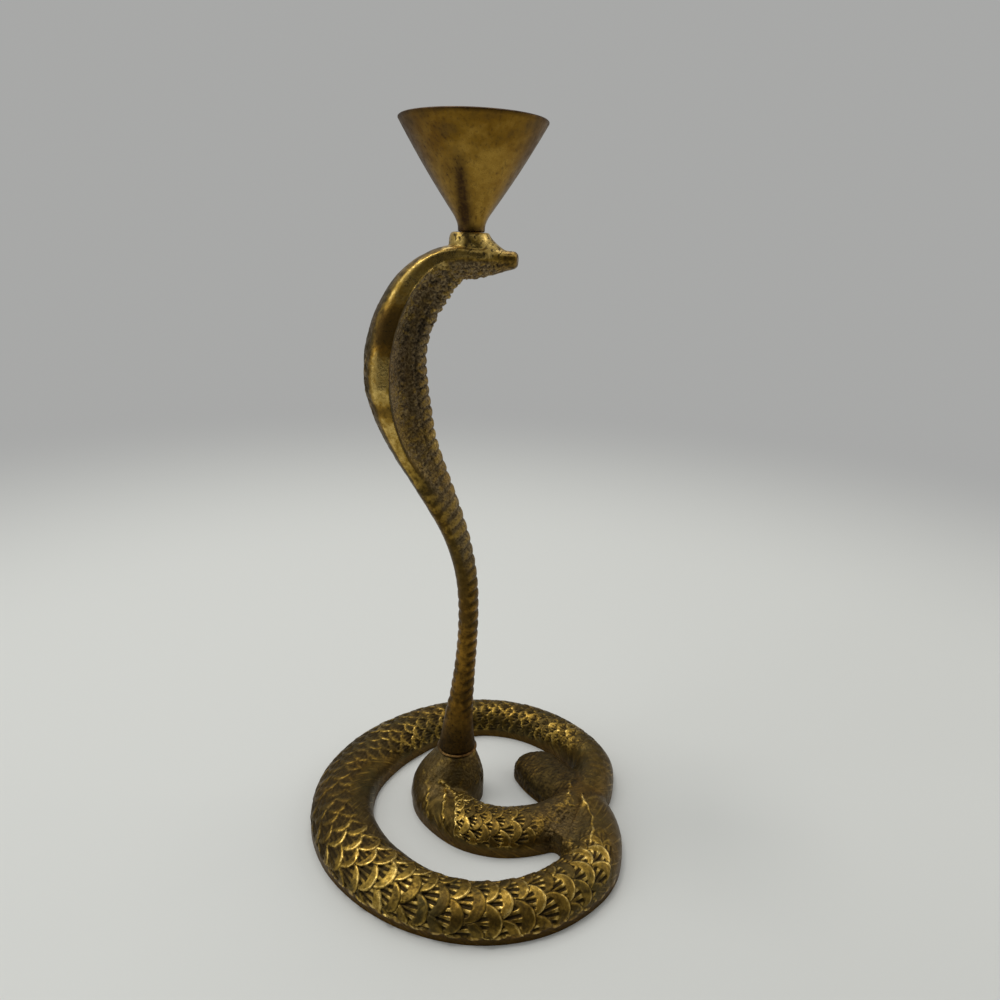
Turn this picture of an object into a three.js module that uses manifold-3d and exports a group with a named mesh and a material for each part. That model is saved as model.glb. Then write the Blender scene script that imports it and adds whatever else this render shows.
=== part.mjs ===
// A brass candle holder in the form of a rising cobra. Millimetres, +Z up.
// The snake's body lies coiled on the table as the base, its neck rises in an S with the hood spread,
// and a turned conical cup stands on the crown of its head.
// Origin: the middle of the footprint, on the table. The table is z = 0.

import * as THREE from 'three';
import { mergeVertices } from 'three/addons/utils/BufferGeometryUtils.js';
import Module from 'manifold-3d';

const wasm = await Module();
wasm.setup();

// Clearances
const FIT_GAP = 0.3; // between two pieces that touch on the real object

// The coil: a flat-bottomed body, seen from above it runs counterclockwise from the neck to the tail
const RING_X = 0.3; // middle of the ring
const RING_Y = 0.8;
const RING_OUTER = 63.9; // outer radius of the ring
const RING_LOBE = 1.1; // how far the ring is from round: it has three slight corners
const RING_LOBE_ANGLE = 62; // degrees: where one of them lies
const RING_BACK_WIDTH = 17;
const RING_LEFT_WIDTH = 24;
const RING_FRONT_WIDTH = 20;
const RING_HEIGHT = 12;
const LOOP_WIDTH = 20; // the inner loop, between the neck's seat and the ring
const LOOP_HEIGHT = 11;
const TAIL_WIDTH = 19.5;
const TAIL_HEIGHT = 9.8;
const TAIL_END = 6.5; // length over which the tail's blunt end is drawn in
const COIL_EDGE = 2.6; // the upright band round the foot of the coil
const NOTCH_X = 30.2; // the rounded end of the gap between the inner loop and the front of the ring
const NOTCH_Y = -25;
const NOTCH_RADIUS = 3.3;
const WEB_REACH = 14; // how far the metal that closes the gap reaches into the coil
const WEB_HEIGHT = 8.5;
const RING_START = 26; // degrees: where the inner loop has become the ring
const RING_END = 318; // degrees: where the ring turns in to the tail
const RING_WIDENS = [85, 150]; // degrees between which the ring grows to its width on the left
const RING_NARROWS = [215, 270]; // and then narrows again to its width at the front
const LOOP_TURNS_RING = 0.55; // share of the inner loop after which it grows to the ring's section
const DOME_FULLNESS = 0.9; // 1 is an ellipse, less is fuller
const END_BLUNTNESS = 0.7; // of the tail: 1 is round, less is squarer

// The neck's seat on the coil
const NECK_X = -8.2;
const NECK_Y = 11.4;
const SEAT_HEIGHT = 20.9;
const SEAT_RADIUS = 7.8;
const SEAT_FOOT_WIDTH = 30; // where the seat stands on the table
const SEAT_FOOT_DEPTH = 26;
const SEAT_LEAN = 3.6; // how far its foot lies to the left of the neck

// Thin ring in the seam between the seat and the neck's foot
const SEAM_RING_RADIUS = 8.1;
const SEAM_RING_THICKNESS = 1.2;

// The neck, the hood and the head
const FACING = -6; // degrees that the head is turned away from +X
const NECK_RISE = 197.6; // from the neck's foot to the top of the crown
const FOOT_RADIUS = 7.4;
const NECK_DEPTH = 3.7; // half the thickness of the neck, front to back, where it is thinnest
const NECK_HALF_WIDTH = 4.2;
const HOOD_HALF_WIDTH = 19.5;
const HOOD_BACK = 11; // from the hood's edge back to its spine
const HOOD_FRONT = 10.5; // from the hood's edge forward to the belly ridge
const HOOD_EDGE = 5.1; // width of the flat ground band along the hood's edge
const BELLY_HALF_WIDTH = 5.2; // the belly ridge that runs down the front of the hood
const HEAD_HALF_WIDTH = 8;
const HEAD_DEPTH = 4.4;
const SNOUT_HALF_WIDTH = 3.4;
const SNOUT_DEPTH = 2.2;
const RIB_PITCH = 4.3; // belly plates
const RIB_DEPTH = 0.7;
const RIBS_FROM = 0.1; // share of the neck's length
const RIBS_TO = 0.9;
const CROWN_RADIUS = 7.4; // the boss under the cup
const CROWN_TOP_RADIUS = 5.8;
const CROWN_SHOULDER = 2.6; // height of its rounded shoulder
const CROWN_FORWARD = 1.1; // the cup stands this far in front of the neck's foot
const CROWN_HEIGHT = 11;

// The cup
const CUP_RADIUS = 23.6;
const CUP_HEIGHT = 32.8;
const CUP_FOOT_RADIUS = 4.4;
const CUP_FLARE = 5; // height at which the foot's curve has become the cone
const CUP_FLARE_RISE = 1.6; // how much wider the cup is there
const CUP_SWELL = 0.5; // how far the cone's side bulges out half way up
const CUP_RIM = 0.8; // height of the upright rim
const CUP_WALL = 1.5;
const CUP_FLOOR = 7.2; // height of the cup's inside floor over its foot

// Screw that holds the neck, put in from below through a recess
const SCREW_RADIUS = 3;
const SCREW_HEAD_RADIUS = 5;
const SCREW_HEAD_HEIGHT = 3.4;
const SCREW_ENGAGED = 6.5; // length of its thread in the neck
const SCREW_SLOT_WIDTH = 1.4;
const SCREW_SLOT_DEPTH = 1.5;
const WASHER_RADIUS = 6;
const WASHER_THICKNESS = 1.2;
const RECESS_DEPTH = 7.5;
const RECESS_PLAY = 1; // round the washer

// Stud between the crown and the cup
const STUD_RADIUS = 2;
const STUD_IN_CROWN = 4.55;
const STUD_IN_CUP = 4.4;
const HOLE_END = 0.8; // room left at the blind end of a threaded hole

// Facets
const ROUND_SIDES = 32;
const CUP_STEPS = 4; // up the cup's side
const DOME_STEPS = 10; // over the coil
const COIL_STEP = 6; // millimetres along the coil
const END_STEPS = 5; // round the tail's end
const RING_ROWS = 15;
const RAD = Math.PI / 180;

// Helpers

// A closed body through rings of points, all with the same count, closed by a flat fan at each end.
// Each ring runs counterclockwise when the next ring is nearer to the eye.
function loft(rings) {
  const sides = rings[0].length;
  const positions = [];
  const index = [];
  for (const ring of rings) {
    for (const point of ring) positions.push(point.x, point.y, point.z);
  }
  for (let r = 0; r < rings.length - 1; r++) {
    for (let s = 0; s < sides; s++) {
      const a = r * sides + s;
      const b = r * sides + (s + 1) % sides;
      index.push(a, b, b + sides, a, b + sides, a + sides);
    }
  }
  for (const end of [0, rings.length - 1]) {
    const middle = new THREE.Vector3();
    for (const point of rings[end]) middle.addScaledVector(point, 1 / sides);
    const centre = positions.length / 3;
    positions.push(middle.x, middle.y, middle.z);
    for (let s = 0; s < sides; s++) {
      const a = end * sides + s;
      const b = end * sides + (s + 1) % sides;
      if (end === 0) index.push(centre, b, a);
      else index.push(centre, a, b);
    }
  }
  const geometry = new THREE.BufferGeometry();
  geometry.setAttribute('position', new THREE.Float32BufferAttribute(positions, 3));
  geometry.setIndex(index);
  return geometry;
}

// A body of revolution about Z, from [radius, height] points listed upwards from the axis to the axis.
function turned(profile) {
  const points = profile.map(([radius, height]) => new THREE.Vector2(radius, height));
  const geometry = new THREE.LatheGeometry(points, ROUND_SIDES);
  geometry.rotateX(Math.PI / 2);
  return geometry;
}

// A plain round bar standing on the point (x, y, z).
function bar(radius, height, x, y, z) {
  const geometry = turned([[0, 0], [radius, 0], [radius, height], [0, height]]);
  geometry.translate(x, y, z);
  return geometry;
}

function solid(geometry) {
  const bare = geometry.clone();
  bare.deleteAttribute('normal');
  bare.deleteAttribute('uv');
  const merged = mergeVertices(bare, 1e-4);
  return new wasm.Manifold(new wasm.Mesh({
    numProp: 3,
    vertProperties: new Float32Array(merged.attributes.position.array),
    triVerts: new Uint32Array(merged.index.array),
  }));
}

function geometryOf(body) {
  const mesh = body.getMesh();
  const geometry = new THREE.BufferGeometry();
  geometry.setAttribute('position', new THREE.Float32BufferAttribute(mesh.vertProperties, 3));
  geometry.setIndex(new THREE.Uint32BufferAttribute(mesh.triVerts, 1));
  const flat = geometry.toNonIndexed();
  flat.computeVertexNormals();
  return flat;
}

function piece(name, geometry, color, roughness, metalness = 1) {
  const material = new THREE.MeshStandardMaterial({ color, roughness, metalness });
  const mesh = new THREE.Mesh(geometry, material);
  mesh.name = name;
  return mesh;
}

// Smooth flat curve through the places that rows begin with.
function rowCurve(rows) {
  const places = rows.map(([a, b]) => new THREE.Vector3(a, b, 0));
  const curve = new THREE.CatmullRomCurve3(places, false, 'centripetal');
  curve.arcLengthDivisions = 600;
  return curve;
}

// Where a row curve is at a share of its length: the point, the tangent and the row's values there.
function alongRows(curve, rows, share) {
  const t = curve.getUtoTmapping(share);
  const cell = Math.min(Math.floor(t * (rows.length - 1)), rows.length - 2);
  const between = t * (rows.length - 1) - cell;
  const values = rows[cell].map((value, k) => mix(value, rows[cell + 1][k], between));
  return { spot: curve.getPoint(t), tangent: curve.getTangent(t), values };
}

function mix(a, b, share) {
  return a + (b - a) * share;
}

function smooth(from, to, value) {
  return THREE.MathUtils.smoothstep(value, from, to);
}

// The coil

// Every row of the coil holds a place on the table, and the body's width and height there.

// The inner loop leaves the seat to the left and runs round its front and out to the right.
function innerLoop() {
  const places = [
    [-10.5, 14], [-15.6, 7.5], [-14.6, 1], [-9.2, -6.4], [-0.4, -13], [10.4, -15.6], [20, -14.6],
    [29, -11.6], [37.6, -5.6], [44, 2.4], [48.6, 12],
  ];
  return places.map(([x, y], i) => {
    const share = smooth(LOOP_TURNS_RING, 1, i / (places.length - 1));
    return [x, y, mix(LOOP_WIDTH, RING_BACK_WIDTH, share), mix(LOOP_HEIGHT, RING_HEIGHT, share)];
  });
}

// The ring: back, left and front. Its width changes along it, and it keeps its outer radius.
function ring() {
  const rows = [];
  for (let i = 0; i < RING_ROWS; i++) {
    const angle = mix(RING_START, RING_END, i / (RING_ROWS - 1));
    const leftWidth = mix(RING_BACK_WIDTH, RING_LEFT_WIDTH, smooth(...RING_WIDENS, angle));
    const width = mix(leftWidth, RING_FRONT_WIDTH, smooth(...RING_NARROWS, angle));
    const lobe = RING_LOBE * Math.cos(3 * (angle - RING_LOBE_ANGLE) * RAD);
    const radius = RING_OUTER + lobe - width / 2;
    const x = RING_X + radius * Math.cos(angle * RAD);
    const y = RING_Y + radius * Math.sin(angle * RAD);
    rows.push([x, y, width, RING_HEIGHT]);
  }
  return rows;
}

// The tail turns in over the coil and ends blunt.
function tail() {
  const places = [[45.7, -25.4], [46.8, -14], [44, -3.4], [39.5, 5], [34.5, 11],
    [29.4, 17], [25.4, 23], [23, 28.2]];
  return places.map(([x, y], i) => {
    const share = i / (places.length - 1);
    return [x, y, mix(RING_FRONT_WIDTH, TAIL_WIDTH, share), mix(RING_HEIGHT, TAIL_HEIGHT, share)];
  });
}

// The coil's section, from the foot on its left over the crest to the foot on its right:
// an upright band at each edge and a dome between them.
function coilSection(width, height) {
  const half = width / 2;
  const edge = Math.min(COIL_EDGE, height / 4);
  const points = [[-half, 0]];
  for (let i = 0; i <= DOME_STEPS; i++) {
    const angle = Math.PI * i / DOME_STEPS;
    const rise = Math.sin(angle) ** DOME_FULLNESS;
    points.push([-half * Math.cos(angle), edge + (height - edge) * rise]);
  }
  points.push([half, 0]);
  return points;
}

// A length of coil between two shares of the whole route. A blunt end is drawn in like a thumb.
function coilLength(rows, from, to, blunt) {
  const curve = rowCurve(rows);
  const length = curve.getLength();
  const end = blunt ? TAIL_END : 0;
  const run = (to - from) * length - end;
  const count = Math.round(run / COIL_STEP);
  const places = [];
  for (let i = 0; i <= count; i++) places.push([from * length + run * i / count, 1]);
  for (let i = 1; blunt && i <= END_STEPS; i++) {
    const angle = Math.PI / 2 * Math.min(i / END_STEPS, 0.97);
    places.push([from * length + run + end * Math.sin(angle), Math.cos(angle) ** END_BLUNTNESS]);
  }
  const rings = places.map(([along, draw]) => {
    const { spot, tangent, values } = alongRows(curve, rows, Math.min(along / length, 1));
    const side = new THREE.Vector3(tangent.y, -tangent.x, 0);
    const [, , width, height] = values;
    return coilSection(width * draw, height * Math.sqrt(draw)).map(([across, up]) => (
      new THREE.Vector3(spot.x + side.x * across, spot.y + side.y * across, up)));
  });
  return solid(loft(rings));
}

// The seat: the snake's body rises from the coil and narrows to the neck's foot. It leans to the left,
// where the inner loop leaves it.
function seat() {
  // Share of the height, and there the shares of the lean and of the spread at the foot.
  const levels = [[0, 1, 1], [0.3, 0.88, 0.95], [0.5, 0.72, 0.78], [0.68, 0.47, 0.52], [0.84, 0.2, 0.22],
    [0.94, 0, 0], [1, 0, 0]];
  const rings = levels.map(([share, leaning, spread]) => {
    const lean = SEAT_LEAN * leaning;
    const halfWidth = mix(SEAT_RADIUS, SEAT_FOOT_WIDTH / 2, spread);
    const halfDepth = mix(SEAT_RADIUS, SEAT_FOOT_DEPTH / 2, spread);
    const points = [];
    for (let i = 0; i < ROUND_SIDES; i++) {
      const angle = 2 * Math.PI * i / ROUND_SIDES;
      points.push(new THREE.Vector3(
        NECK_X - lean + halfWidth * Math.cos(angle),
        NECK_Y - lean / 2 + halfDepth * Math.sin(angle),
        share * SEAT_HEIGHT));
    }
    return points;
  });
  return solid(loft(rings));
}

// Metal that fills the corner between the inner loop and the front of the ring, hollowed to the notch.
function web() {
  const outline = new THREE.Shape();
  outline.moveTo(NOTCH_X, NOTCH_Y + NOTCH_RADIUS);
  outline.absarc(NOTCH_X, NOTCH_Y, NOTCH_RADIUS, Math.PI / 2, -Math.PI / 3, true);
  outline.lineTo(NOTCH_X + WEB_REACH, NOTCH_Y - NOTCH_RADIUS);
  outline.lineTo(NOTCH_X + WEB_REACH, NOTCH_Y + WEB_REACH);
  outline.lineTo(NOTCH_X, NOTCH_Y + WEB_REACH);
  const options = { depth: WEB_HEIGHT, bevelEnabled: false, curveSegments: 5 };
  return solid(new THREE.ExtrudeGeometry(outline, options));
}

function coiledBase() {
  const route = [...innerLoop(), ...ring(), ...tail()];
  // Two lengths, because the end of the coil runs into its beginning.
  const split = 0.6;
  const body = coilLength(route, 0, split, false).add(coilLength(route, split, 1, true));
  const screwHole = bar(SCREW_RADIUS + FIT_GAP, SEAT_HEIGHT + 2, NECK_X, NECK_Y, -1);
  const recess = bar(WASHER_RADIUS + RECESS_PLAY, RECESS_DEPTH + 1, NECK_X, NECK_Y, -1);
  return geometryOf(body.add(seat()).add(web()).subtract(solid(screwHole)).subtract(solid(recess)));
}

// The neck, in its own frame: x forward to the snout, y across, z up from the foot

const FOOT_HEIGHT = SEAT_HEIGHT + SEAM_RING_THICKNESS + 2 * FIT_GAP;

// Rows of the neck from its foot to the nape:
// forward, share of the rise, spread of the hood, depth of the back, depth of the front, width of the edge.
// Each of the last four is 0 on the plain neck and 1 where the hood has its full measure.
const NECK_ROWS = [
  [0, 0, 0, 0.5, 0.56, 0],
  [0.1, 0.035, 0, 0.36, 0.4, 0],
  [0.5, 0.075, 0, 0.24, 0.28, 0],
  [1.2, 0.115, 0, 0.12, 0.15, 0],
  [2.3, 0.18, 0, 0.04, 0.05, 0],
  [3.1, 0.25, 0, 0, 0, 0],
  [3.2, 0.315, 0, 0, 0, 0],
  [2.3, 0.375, 0, 0.02, 0.03, 0],
  [0.2, 0.425, 0.02, 0.05, 0.08, 0],
  [-3.6, 0.478, 0.08, 0.08, 0.2, 0.1],
  [-9.3, 0.532, 0.19, 0.08, 0.5, 0.15],
  [-14.9, 0.584, 0.34, 0.13, 0.73, 0.2],
  [-19.4, 0.634, 0.56, 0.3, 0.89, 0.3],
  [-22.6, 0.689, 0.84, 0.56, 1.09, 0.6],
  [-24.4, 0.745, 1, 0.78, 1.12, 1],
  [-24.1, 0.801, 0.98, 0.82, 0.99, 1],
  [-21.8, 0.858, 0.84, 0.7, 0.99, 1],
  [-17.7, 0.9105, 0.62, 0.38, 1.16, 1],
  [-11.2, 0.948, 0.38, 0.05, 1.04, 0.8],
];

// Rows of the head: forward, share of the rise, half width, depth of the back, depth of the front.
const HEAD_ROWS = [
  [-3, 0.965, HEAD_HALF_WIDTH, HEAD_DEPTH - 1.4, HEAD_DEPTH + 4],
  [3, 0.963, HEAD_HALF_WIDTH, HEAD_DEPTH, HEAD_DEPTH + 2.9],
  [6.6, 0.962, mix(SNOUT_HALF_WIDTH, HEAD_HALF_WIDTH, 0.85), HEAD_DEPTH, HEAD_DEPTH + 1.8],
  [9.6, 0.9612, mix(SNOUT_HALF_WIDTH, HEAD_HALF_WIDTH, 0.5), mix(SNOUT_DEPTH, HEAD_DEPTH, 0.25), 4.8],
  [13, 0.9605, SNOUT_HALF_WIDTH + 0.4, SNOUT_DEPTH, 3.3],
  [16, 0.96, SNOUT_HALF_WIDTH, SNOUT_DEPTH - 0.2, SNOUT_DEPTH - 0.2],
];

// Rows of the neck and the head in millimetres: forward, up, half width, back, front, edge, hollow.
function neckRows() {
  const rows = NECK_ROWS.map(([forward, rise, spread, back, front, edge], i) => {
    const foot = 1 - smooth(0, 0.1, rise);
    const neckWidth = mix(NECK_HALF_WIDTH, FOOT_RADIUS, foot);
    const backDepth = i === 0 ? FOOT_RADIUS : mix(NECK_DEPTH, HOOD_BACK, back);
    const frontDepth = i === 0 ? FOOT_RADIUS : mix(NECK_DEPTH, HOOD_FRONT, front);
    return [forward, rise * NECK_RISE, mix(neckWidth, HOOD_HALF_WIDTH, spread), backDepth, frontDepth,
      HOOD_EDGE * edge, smooth(0.05, 0.6, spread)];
  });
  const last = rows[rows.length - 1];
  const head = HEAD_ROWS.map(([forward, rise, half, back, front], i) => (
    [forward, rise * NECK_RISE, half, back, front, i === 0 ? last[5] * 0.4 : 0, 0]));
  return [...rows, ...head];
}

// Section of the neck as [across, forward] points, from the spine round one side to the belly.
// hollow is 0 for the round neck and 1 for the hood, whose face is hollow beside the belly ridge.
function neckSection(half, back, front, edge, hollow) {
  const rim = edge / 2;
  const points = [];
  for (const angle of [90, 66, 44, 22, 0]) {
    points.push([half * Math.cos(angle * RAD), -rim - (back - rim) * Math.sin(angle * RAD)]);
  }
  const belly = Math.min(BELLY_HALF_WIDTH, half * 0.8);
  const round = [0, 20, 42, 60, 76, 90].map((angle) => (
    [half * Math.cos(angle * RAD), rim + (front - rim) * Math.sin(angle * RAD)]));
  const spreadFace = [
    [half, rim], [mix(belly, half, 0.6), rim * 0.95], [mix(belly, half, 0.12), rim * 0.5 + front * 0.08],
    [belly * 0.9, front * 0.5], [belly * 0.5, front * 0.9], [0, front],
  ];
  round.forEach(([across, forward], i) => {
    points.push([mix(across, spreadFace[i][0], hollow), mix(forward, spreadFace[i][1], hollow)]);
  });
  return points;
}

// The whole outline of the neck at a spot of its curve, square to the curve.
function neckRing(section, spot, tangent) {
  const mirrored = section.slice(1, -1).map(([across, depth]) => [-across, depth]);
  const outline = [section[0], ...mirrored, ...section.slice(1).reverse()];
  return outline.map(([across, depth]) => (
    new THREE.Vector3(spot.x + tangent.y * depth, across, spot.y - tangent.x * depth)));
}

// The neck, hood and head in one sweep. Every second ring of the ribbed stretch is a groove of the belly.
function neckSweep() {
  const rows = neckRows();
  const curve = rowCurve(rows);
  const count = 2 * Math.round(curve.getLength() / RIB_PITCH);
  const rings = [];
  for (let i = 0; i <= count; i++) {
    const share = i / count;
    const { spot, tangent, values } = alongRows(curve, rows, share);
    if (i === 0) tangent.set(0, 1, 0);
    const [, , half, back, front, edge, hollow] = values;
    const grooved = share > RIBS_FROM && share < RIBS_TO && i % 2 === 1;
    const section = neckSection(half, back, grooved ? front - RIB_DEPTH : front, edge, hollow);
    rings.push(neckRing(section, spot, tangent));
  }
  return solid(loft(rings));
}

function crown() {
  const base = NECK_RISE - CROWN_HEIGHT;
  const shoulder = NECK_RISE - CROWN_SHOULDER;
  const boss = turned([
    [0, base], [CROWN_RADIUS - 1, base], [CROWN_RADIUS, mix(base, shoulder, 0.5)], [CROWN_RADIUS, shoulder],
    [mix(CROWN_RADIUS, CROWN_TOP_RADIUS, 0.4), mix(shoulder, NECK_RISE, 0.7)],
    [CROWN_TOP_RADIUS, NECK_RISE], [0, NECK_RISE],
  ]);
  boss.translate(CROWN_FORWARD, 0, 0);
  return solid(boss);
}

function cobraNeck() {
  const screwHole = bar(SCREW_RADIUS + FIT_GAP, SCREW_ENGAGED + HOLE_END + 1, 0, 0, -1);
  const studDepth = STUD_IN_CROWN + HOLE_END;
  const studHole = bar(STUD_RADIUS + FIT_GAP, studDepth + 1, CROWN_FORWARD, 0, NECK_RISE - studDepth);
  return geometryOf(neckSweep().add(crown()).subtract(solid(screwHole)).subtract(solid(studHole)));
}

// The cup, turned, open above, with a blind threaded hole in its foot

function candleCup() {
  const flareRadius = CUP_FOOT_RADIUS + CUP_FLARE_RISE;
  const coneHeight = CUP_HEIGHT - CUP_FLARE - CUP_RIM;
  const slope = (CUP_RADIUS - flareRadius) / coneHeight;
  const across = CUP_WALL * Math.hypot(1, slope);
  // Radius of the outside at a height on the cone, which swells a little between its ends.
  const radiusAt = (height) => {
    const share = (height - CUP_FLARE) / coneHeight;
    return mix(flareRadius, CUP_RADIUS, share) + CUP_SWELL * Math.sin(Math.PI * share);
  };
  const outside = [[0, 0], [CUP_FOOT_RADIUS, 0], [CUP_FOOT_RADIUS, CUP_FLARE * 0.24],
    [mix(CUP_FOOT_RADIUS, flareRadius, 0.38), CUP_FLARE * 0.64]];
  const inside = [];
  for (let i = 0; i <= CUP_STEPS; i++) {
    const height = mix(CUP_FLARE, CUP_HEIGHT - CUP_RIM, i / CUP_STEPS);
    outside.push([radiusAt(height), height]);
    const innerHeight = mix(CUP_HEIGHT - CUP_RIM, CUP_FLOOR, i / CUP_STEPS);
    inside.push([radiusAt(innerHeight) - across, innerHeight]);
  }
  outside.push([CUP_RADIUS - 0.2, CUP_HEIGHT]);
  inside.unshift([CUP_RADIUS - across + 0.2, CUP_HEIGHT]);
  inside.push([0, CUP_FLOOR]);
  const hole = bar(STUD_RADIUS + FIT_GAP, STUD_IN_CUP + HOLE_END + 1, 0, 0, -1);
  return geometryOf(solid(turned([...outside, ...inside])).subtract(solid(hole)));
}

// Fasteners

function ringOf(outer, inner, thickness, rounding) {
  return turned([
    [inner, 0], [outer - rounding, 0], [outer, thickness / 3], [outer, thickness * 2 / 3],
    [outer - rounding, thickness], [inner, thickness], [inner, 0],
  ]);
}

// The neck's screw, from the underside of its head: z = 0 is the face that bears on the washer.
function neckScrew(shank) {
  const body = solid(turned([
    [0, -SCREW_HEAD_HEIGHT], [SCREW_HEAD_RADIUS - 1, -SCREW_HEAD_HEIGHT],
    [SCREW_HEAD_RADIUS, -SCREW_HEAD_HEIGHT + 1], [SCREW_HEAD_RADIUS, 0], [SCREW_RADIUS, 0],
    [SCREW_RADIUS, shank - 0.6], [SCREW_RADIUS - 0.6, shank], [0, shank],
  ]));
  const slot = new THREE.BoxGeometry(2 * SCREW_HEAD_RADIUS + 2, SCREW_SLOT_WIDTH, 2 * SCREW_SLOT_DEPTH);
  slot.translate(0, 0, -SCREW_HEAD_HEIGHT);
  return geometryOf(body.subtract(solid(slot)));
}

function cupStud() {
  const length = STUD_IN_CROWN + FIT_GAP + STUD_IN_CUP;
  return turned([
    [0, 0], [STUD_RADIUS - 0.4, 0], [STUD_RADIUS, 0.4], [STUD_RADIUS, length - 0.4],
    [STUD_RADIUS - 0.4, length], [0, length],
  ]);
}

// Assembly

const group = new THREE.Group();

const base = piece('coiled_base', coiledBase(), 0x7a5c22, 0.42);
group.add(base);

const column = new THREE.Group();
column.position.set(NECK_X, NECK_Y, 0);
group.add(column);

const washerTop = RECESS_DEPTH - FIT_GAP;
const screwFace = washerTop - WASHER_THICKNESS - FIT_GAP;
const washerHole = SCREW_RADIUS + FIT_GAP;
const washerShape = ringOf(WASHER_RADIUS, washerHole, WASHER_THICKNESS, 0.2);
const screwWasher = piece('screw_washer', washerShape, 0x9a8a5a, 0.45);
screwWasher.position.z = washerTop - WASHER_THICKNESS;
column.add(screwWasher);

const shank = FOOT_HEIGHT + SCREW_ENGAGED - screwFace;
const screw = piece('neck_screw', neckScrew(shank), 0x8d8a84, 0.4);
screw.position.z = screwFace;
column.add(screw);

const seamShape = ringOf(SEAM_RING_RADIUS, SCREW_RADIUS + FIT_GAP, SEAM_RING_THICKNESS, 0.3);
const seamRing = piece('seam_ring', seamShape, 0x8f5f3c, 0.4);
seamRing.position.z = SEAT_HEIGHT + FIT_GAP;
column.add(seamRing);

// The neck's own frame: turned to the way that the head faces, with the cup over the crown.
const figure = new THREE.Group();
figure.position.z = FOOT_HEIGHT;
figure.rotation.z = FACING * RAD;
column.add(figure);
figure.add(piece('cobra_neck', cobraNeck(), 0x80602a, 0.45));

const stud = piece('cup_stud', cupStud(), 0x8d8a84, 0.4);
stud.position.set(CROWN_FORWARD, 0, NECK_RISE - STUD_IN_CROWN);
figure.add(stud);

const cup = piece('candle_cup', candleCup(), 0xa07a34, 0.3);
cup.position.set(CROWN_FORWARD, 0, NECK_RISE + FIT_GAP);
figure.add(cup);

// Put the middle of the footprint on the origin.
group.updateMatrixWorld(true);
const footprint = new THREE.Box3().setFromObject(group);
const middle = footprint.getCenter(new THREE.Vector3());
group.position.set(-middle.x, -middle.y, 0);

export default group;
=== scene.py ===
# %% [markdown]
# # A cast brass cobra that carries a candle cup
# The solid parts of this candle holder are already modelled and packed. This lesson gives them
# the looks of the real one: scales on the coil, plates down the belly, a ground edge round the
# hood, and old brass that is dark in every hollow and bright where hands have rubbed it, with some
# highlights and shade painted into its colour.
# All lengths in the cells are millimetres until a mesh is made. Only the stage is in metres.

# %% Load the solid parts
import math
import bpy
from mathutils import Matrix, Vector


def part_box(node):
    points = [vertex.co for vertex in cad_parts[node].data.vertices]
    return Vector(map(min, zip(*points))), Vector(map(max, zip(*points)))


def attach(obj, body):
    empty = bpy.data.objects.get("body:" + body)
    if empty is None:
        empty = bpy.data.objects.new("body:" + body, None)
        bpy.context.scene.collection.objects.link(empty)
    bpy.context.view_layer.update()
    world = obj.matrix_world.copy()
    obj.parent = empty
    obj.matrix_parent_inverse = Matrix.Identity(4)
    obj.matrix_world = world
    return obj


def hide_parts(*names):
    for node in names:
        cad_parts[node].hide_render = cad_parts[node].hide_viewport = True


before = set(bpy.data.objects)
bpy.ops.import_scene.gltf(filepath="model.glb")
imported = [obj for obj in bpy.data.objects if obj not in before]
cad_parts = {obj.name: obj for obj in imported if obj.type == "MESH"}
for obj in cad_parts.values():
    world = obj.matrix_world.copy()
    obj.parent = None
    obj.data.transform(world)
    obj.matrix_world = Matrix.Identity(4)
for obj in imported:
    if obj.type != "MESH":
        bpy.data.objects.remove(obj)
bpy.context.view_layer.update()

from types import SimpleNamespace

import bpy
import numpy as np
from mathutils import Matrix, Vector

MM = 0.001


def middle_of(node):
    """The middle of a solid part in x and y, in millimetres."""
    low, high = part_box(node)
    return (low[0] + high[0]) / 2 / MM, (low[1] + high[1]) / 2 / MM


def heights_of(node):
    """The lowest and the highest point of a solid part, in millimetres."""
    return [corner[2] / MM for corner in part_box(node)]


NECK_X, NECK_Y = middle_of("seam_ring")
CUP_X, CUP_Y = middle_of("candle_cup")
NECK_FOOT, CROWN_TOP = heights_of("cobra_neck")
SEAT_TOP = heights_of("coiled_base")[1]
print("neck axis", round(NECK_X, 2), round(NECK_Y, 2), "cup axis", round(CUP_X, 2), round(CUP_Y, 2))

# %% [markdown]
# ## Selecting
# An operator acts on all that is selected, and the solid parts arrive selected. So everything is
# deselected first, and only then is the piece picked that the next operator should change.

# %% Pick a piece


def deselect():
    if bpy.context.object and bpy.context.object.mode != "OBJECT":
        bpy.ops.object.mode_set(mode="OBJECT")
    bpy.ops.object.select_all(action="DESELECT")


def pick(*objects):
    deselect()
    for thing in objects:
        thing.select_set(True)
    bpy.context.view_layer.objects.active = objects[0]
    return objects[0]


print(len(bpy.context.selected_objects), "solid parts arrive selected")
deselect()
print(len(bpy.context.selected_objects), "are selected now")

# %% [markdown]
# ## The line that the snake lies on
# The body of the snake is a section that is swept along a line. A smooth line runs through a few
# typed rows: the first two values of a row are its place, and the others are measures of the
# section there. Unlike a drawn curve object, it can tell how far along each point of it is, and
# the scales need that.

# %% Smooth lines


def blend(low, high, value):
    """0 below low, 1 above high, and a soft step between them."""
    share = np.clip((value - low) / (high - low), 0, 1)
    return share * share * (3 - 2 * share)


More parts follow.
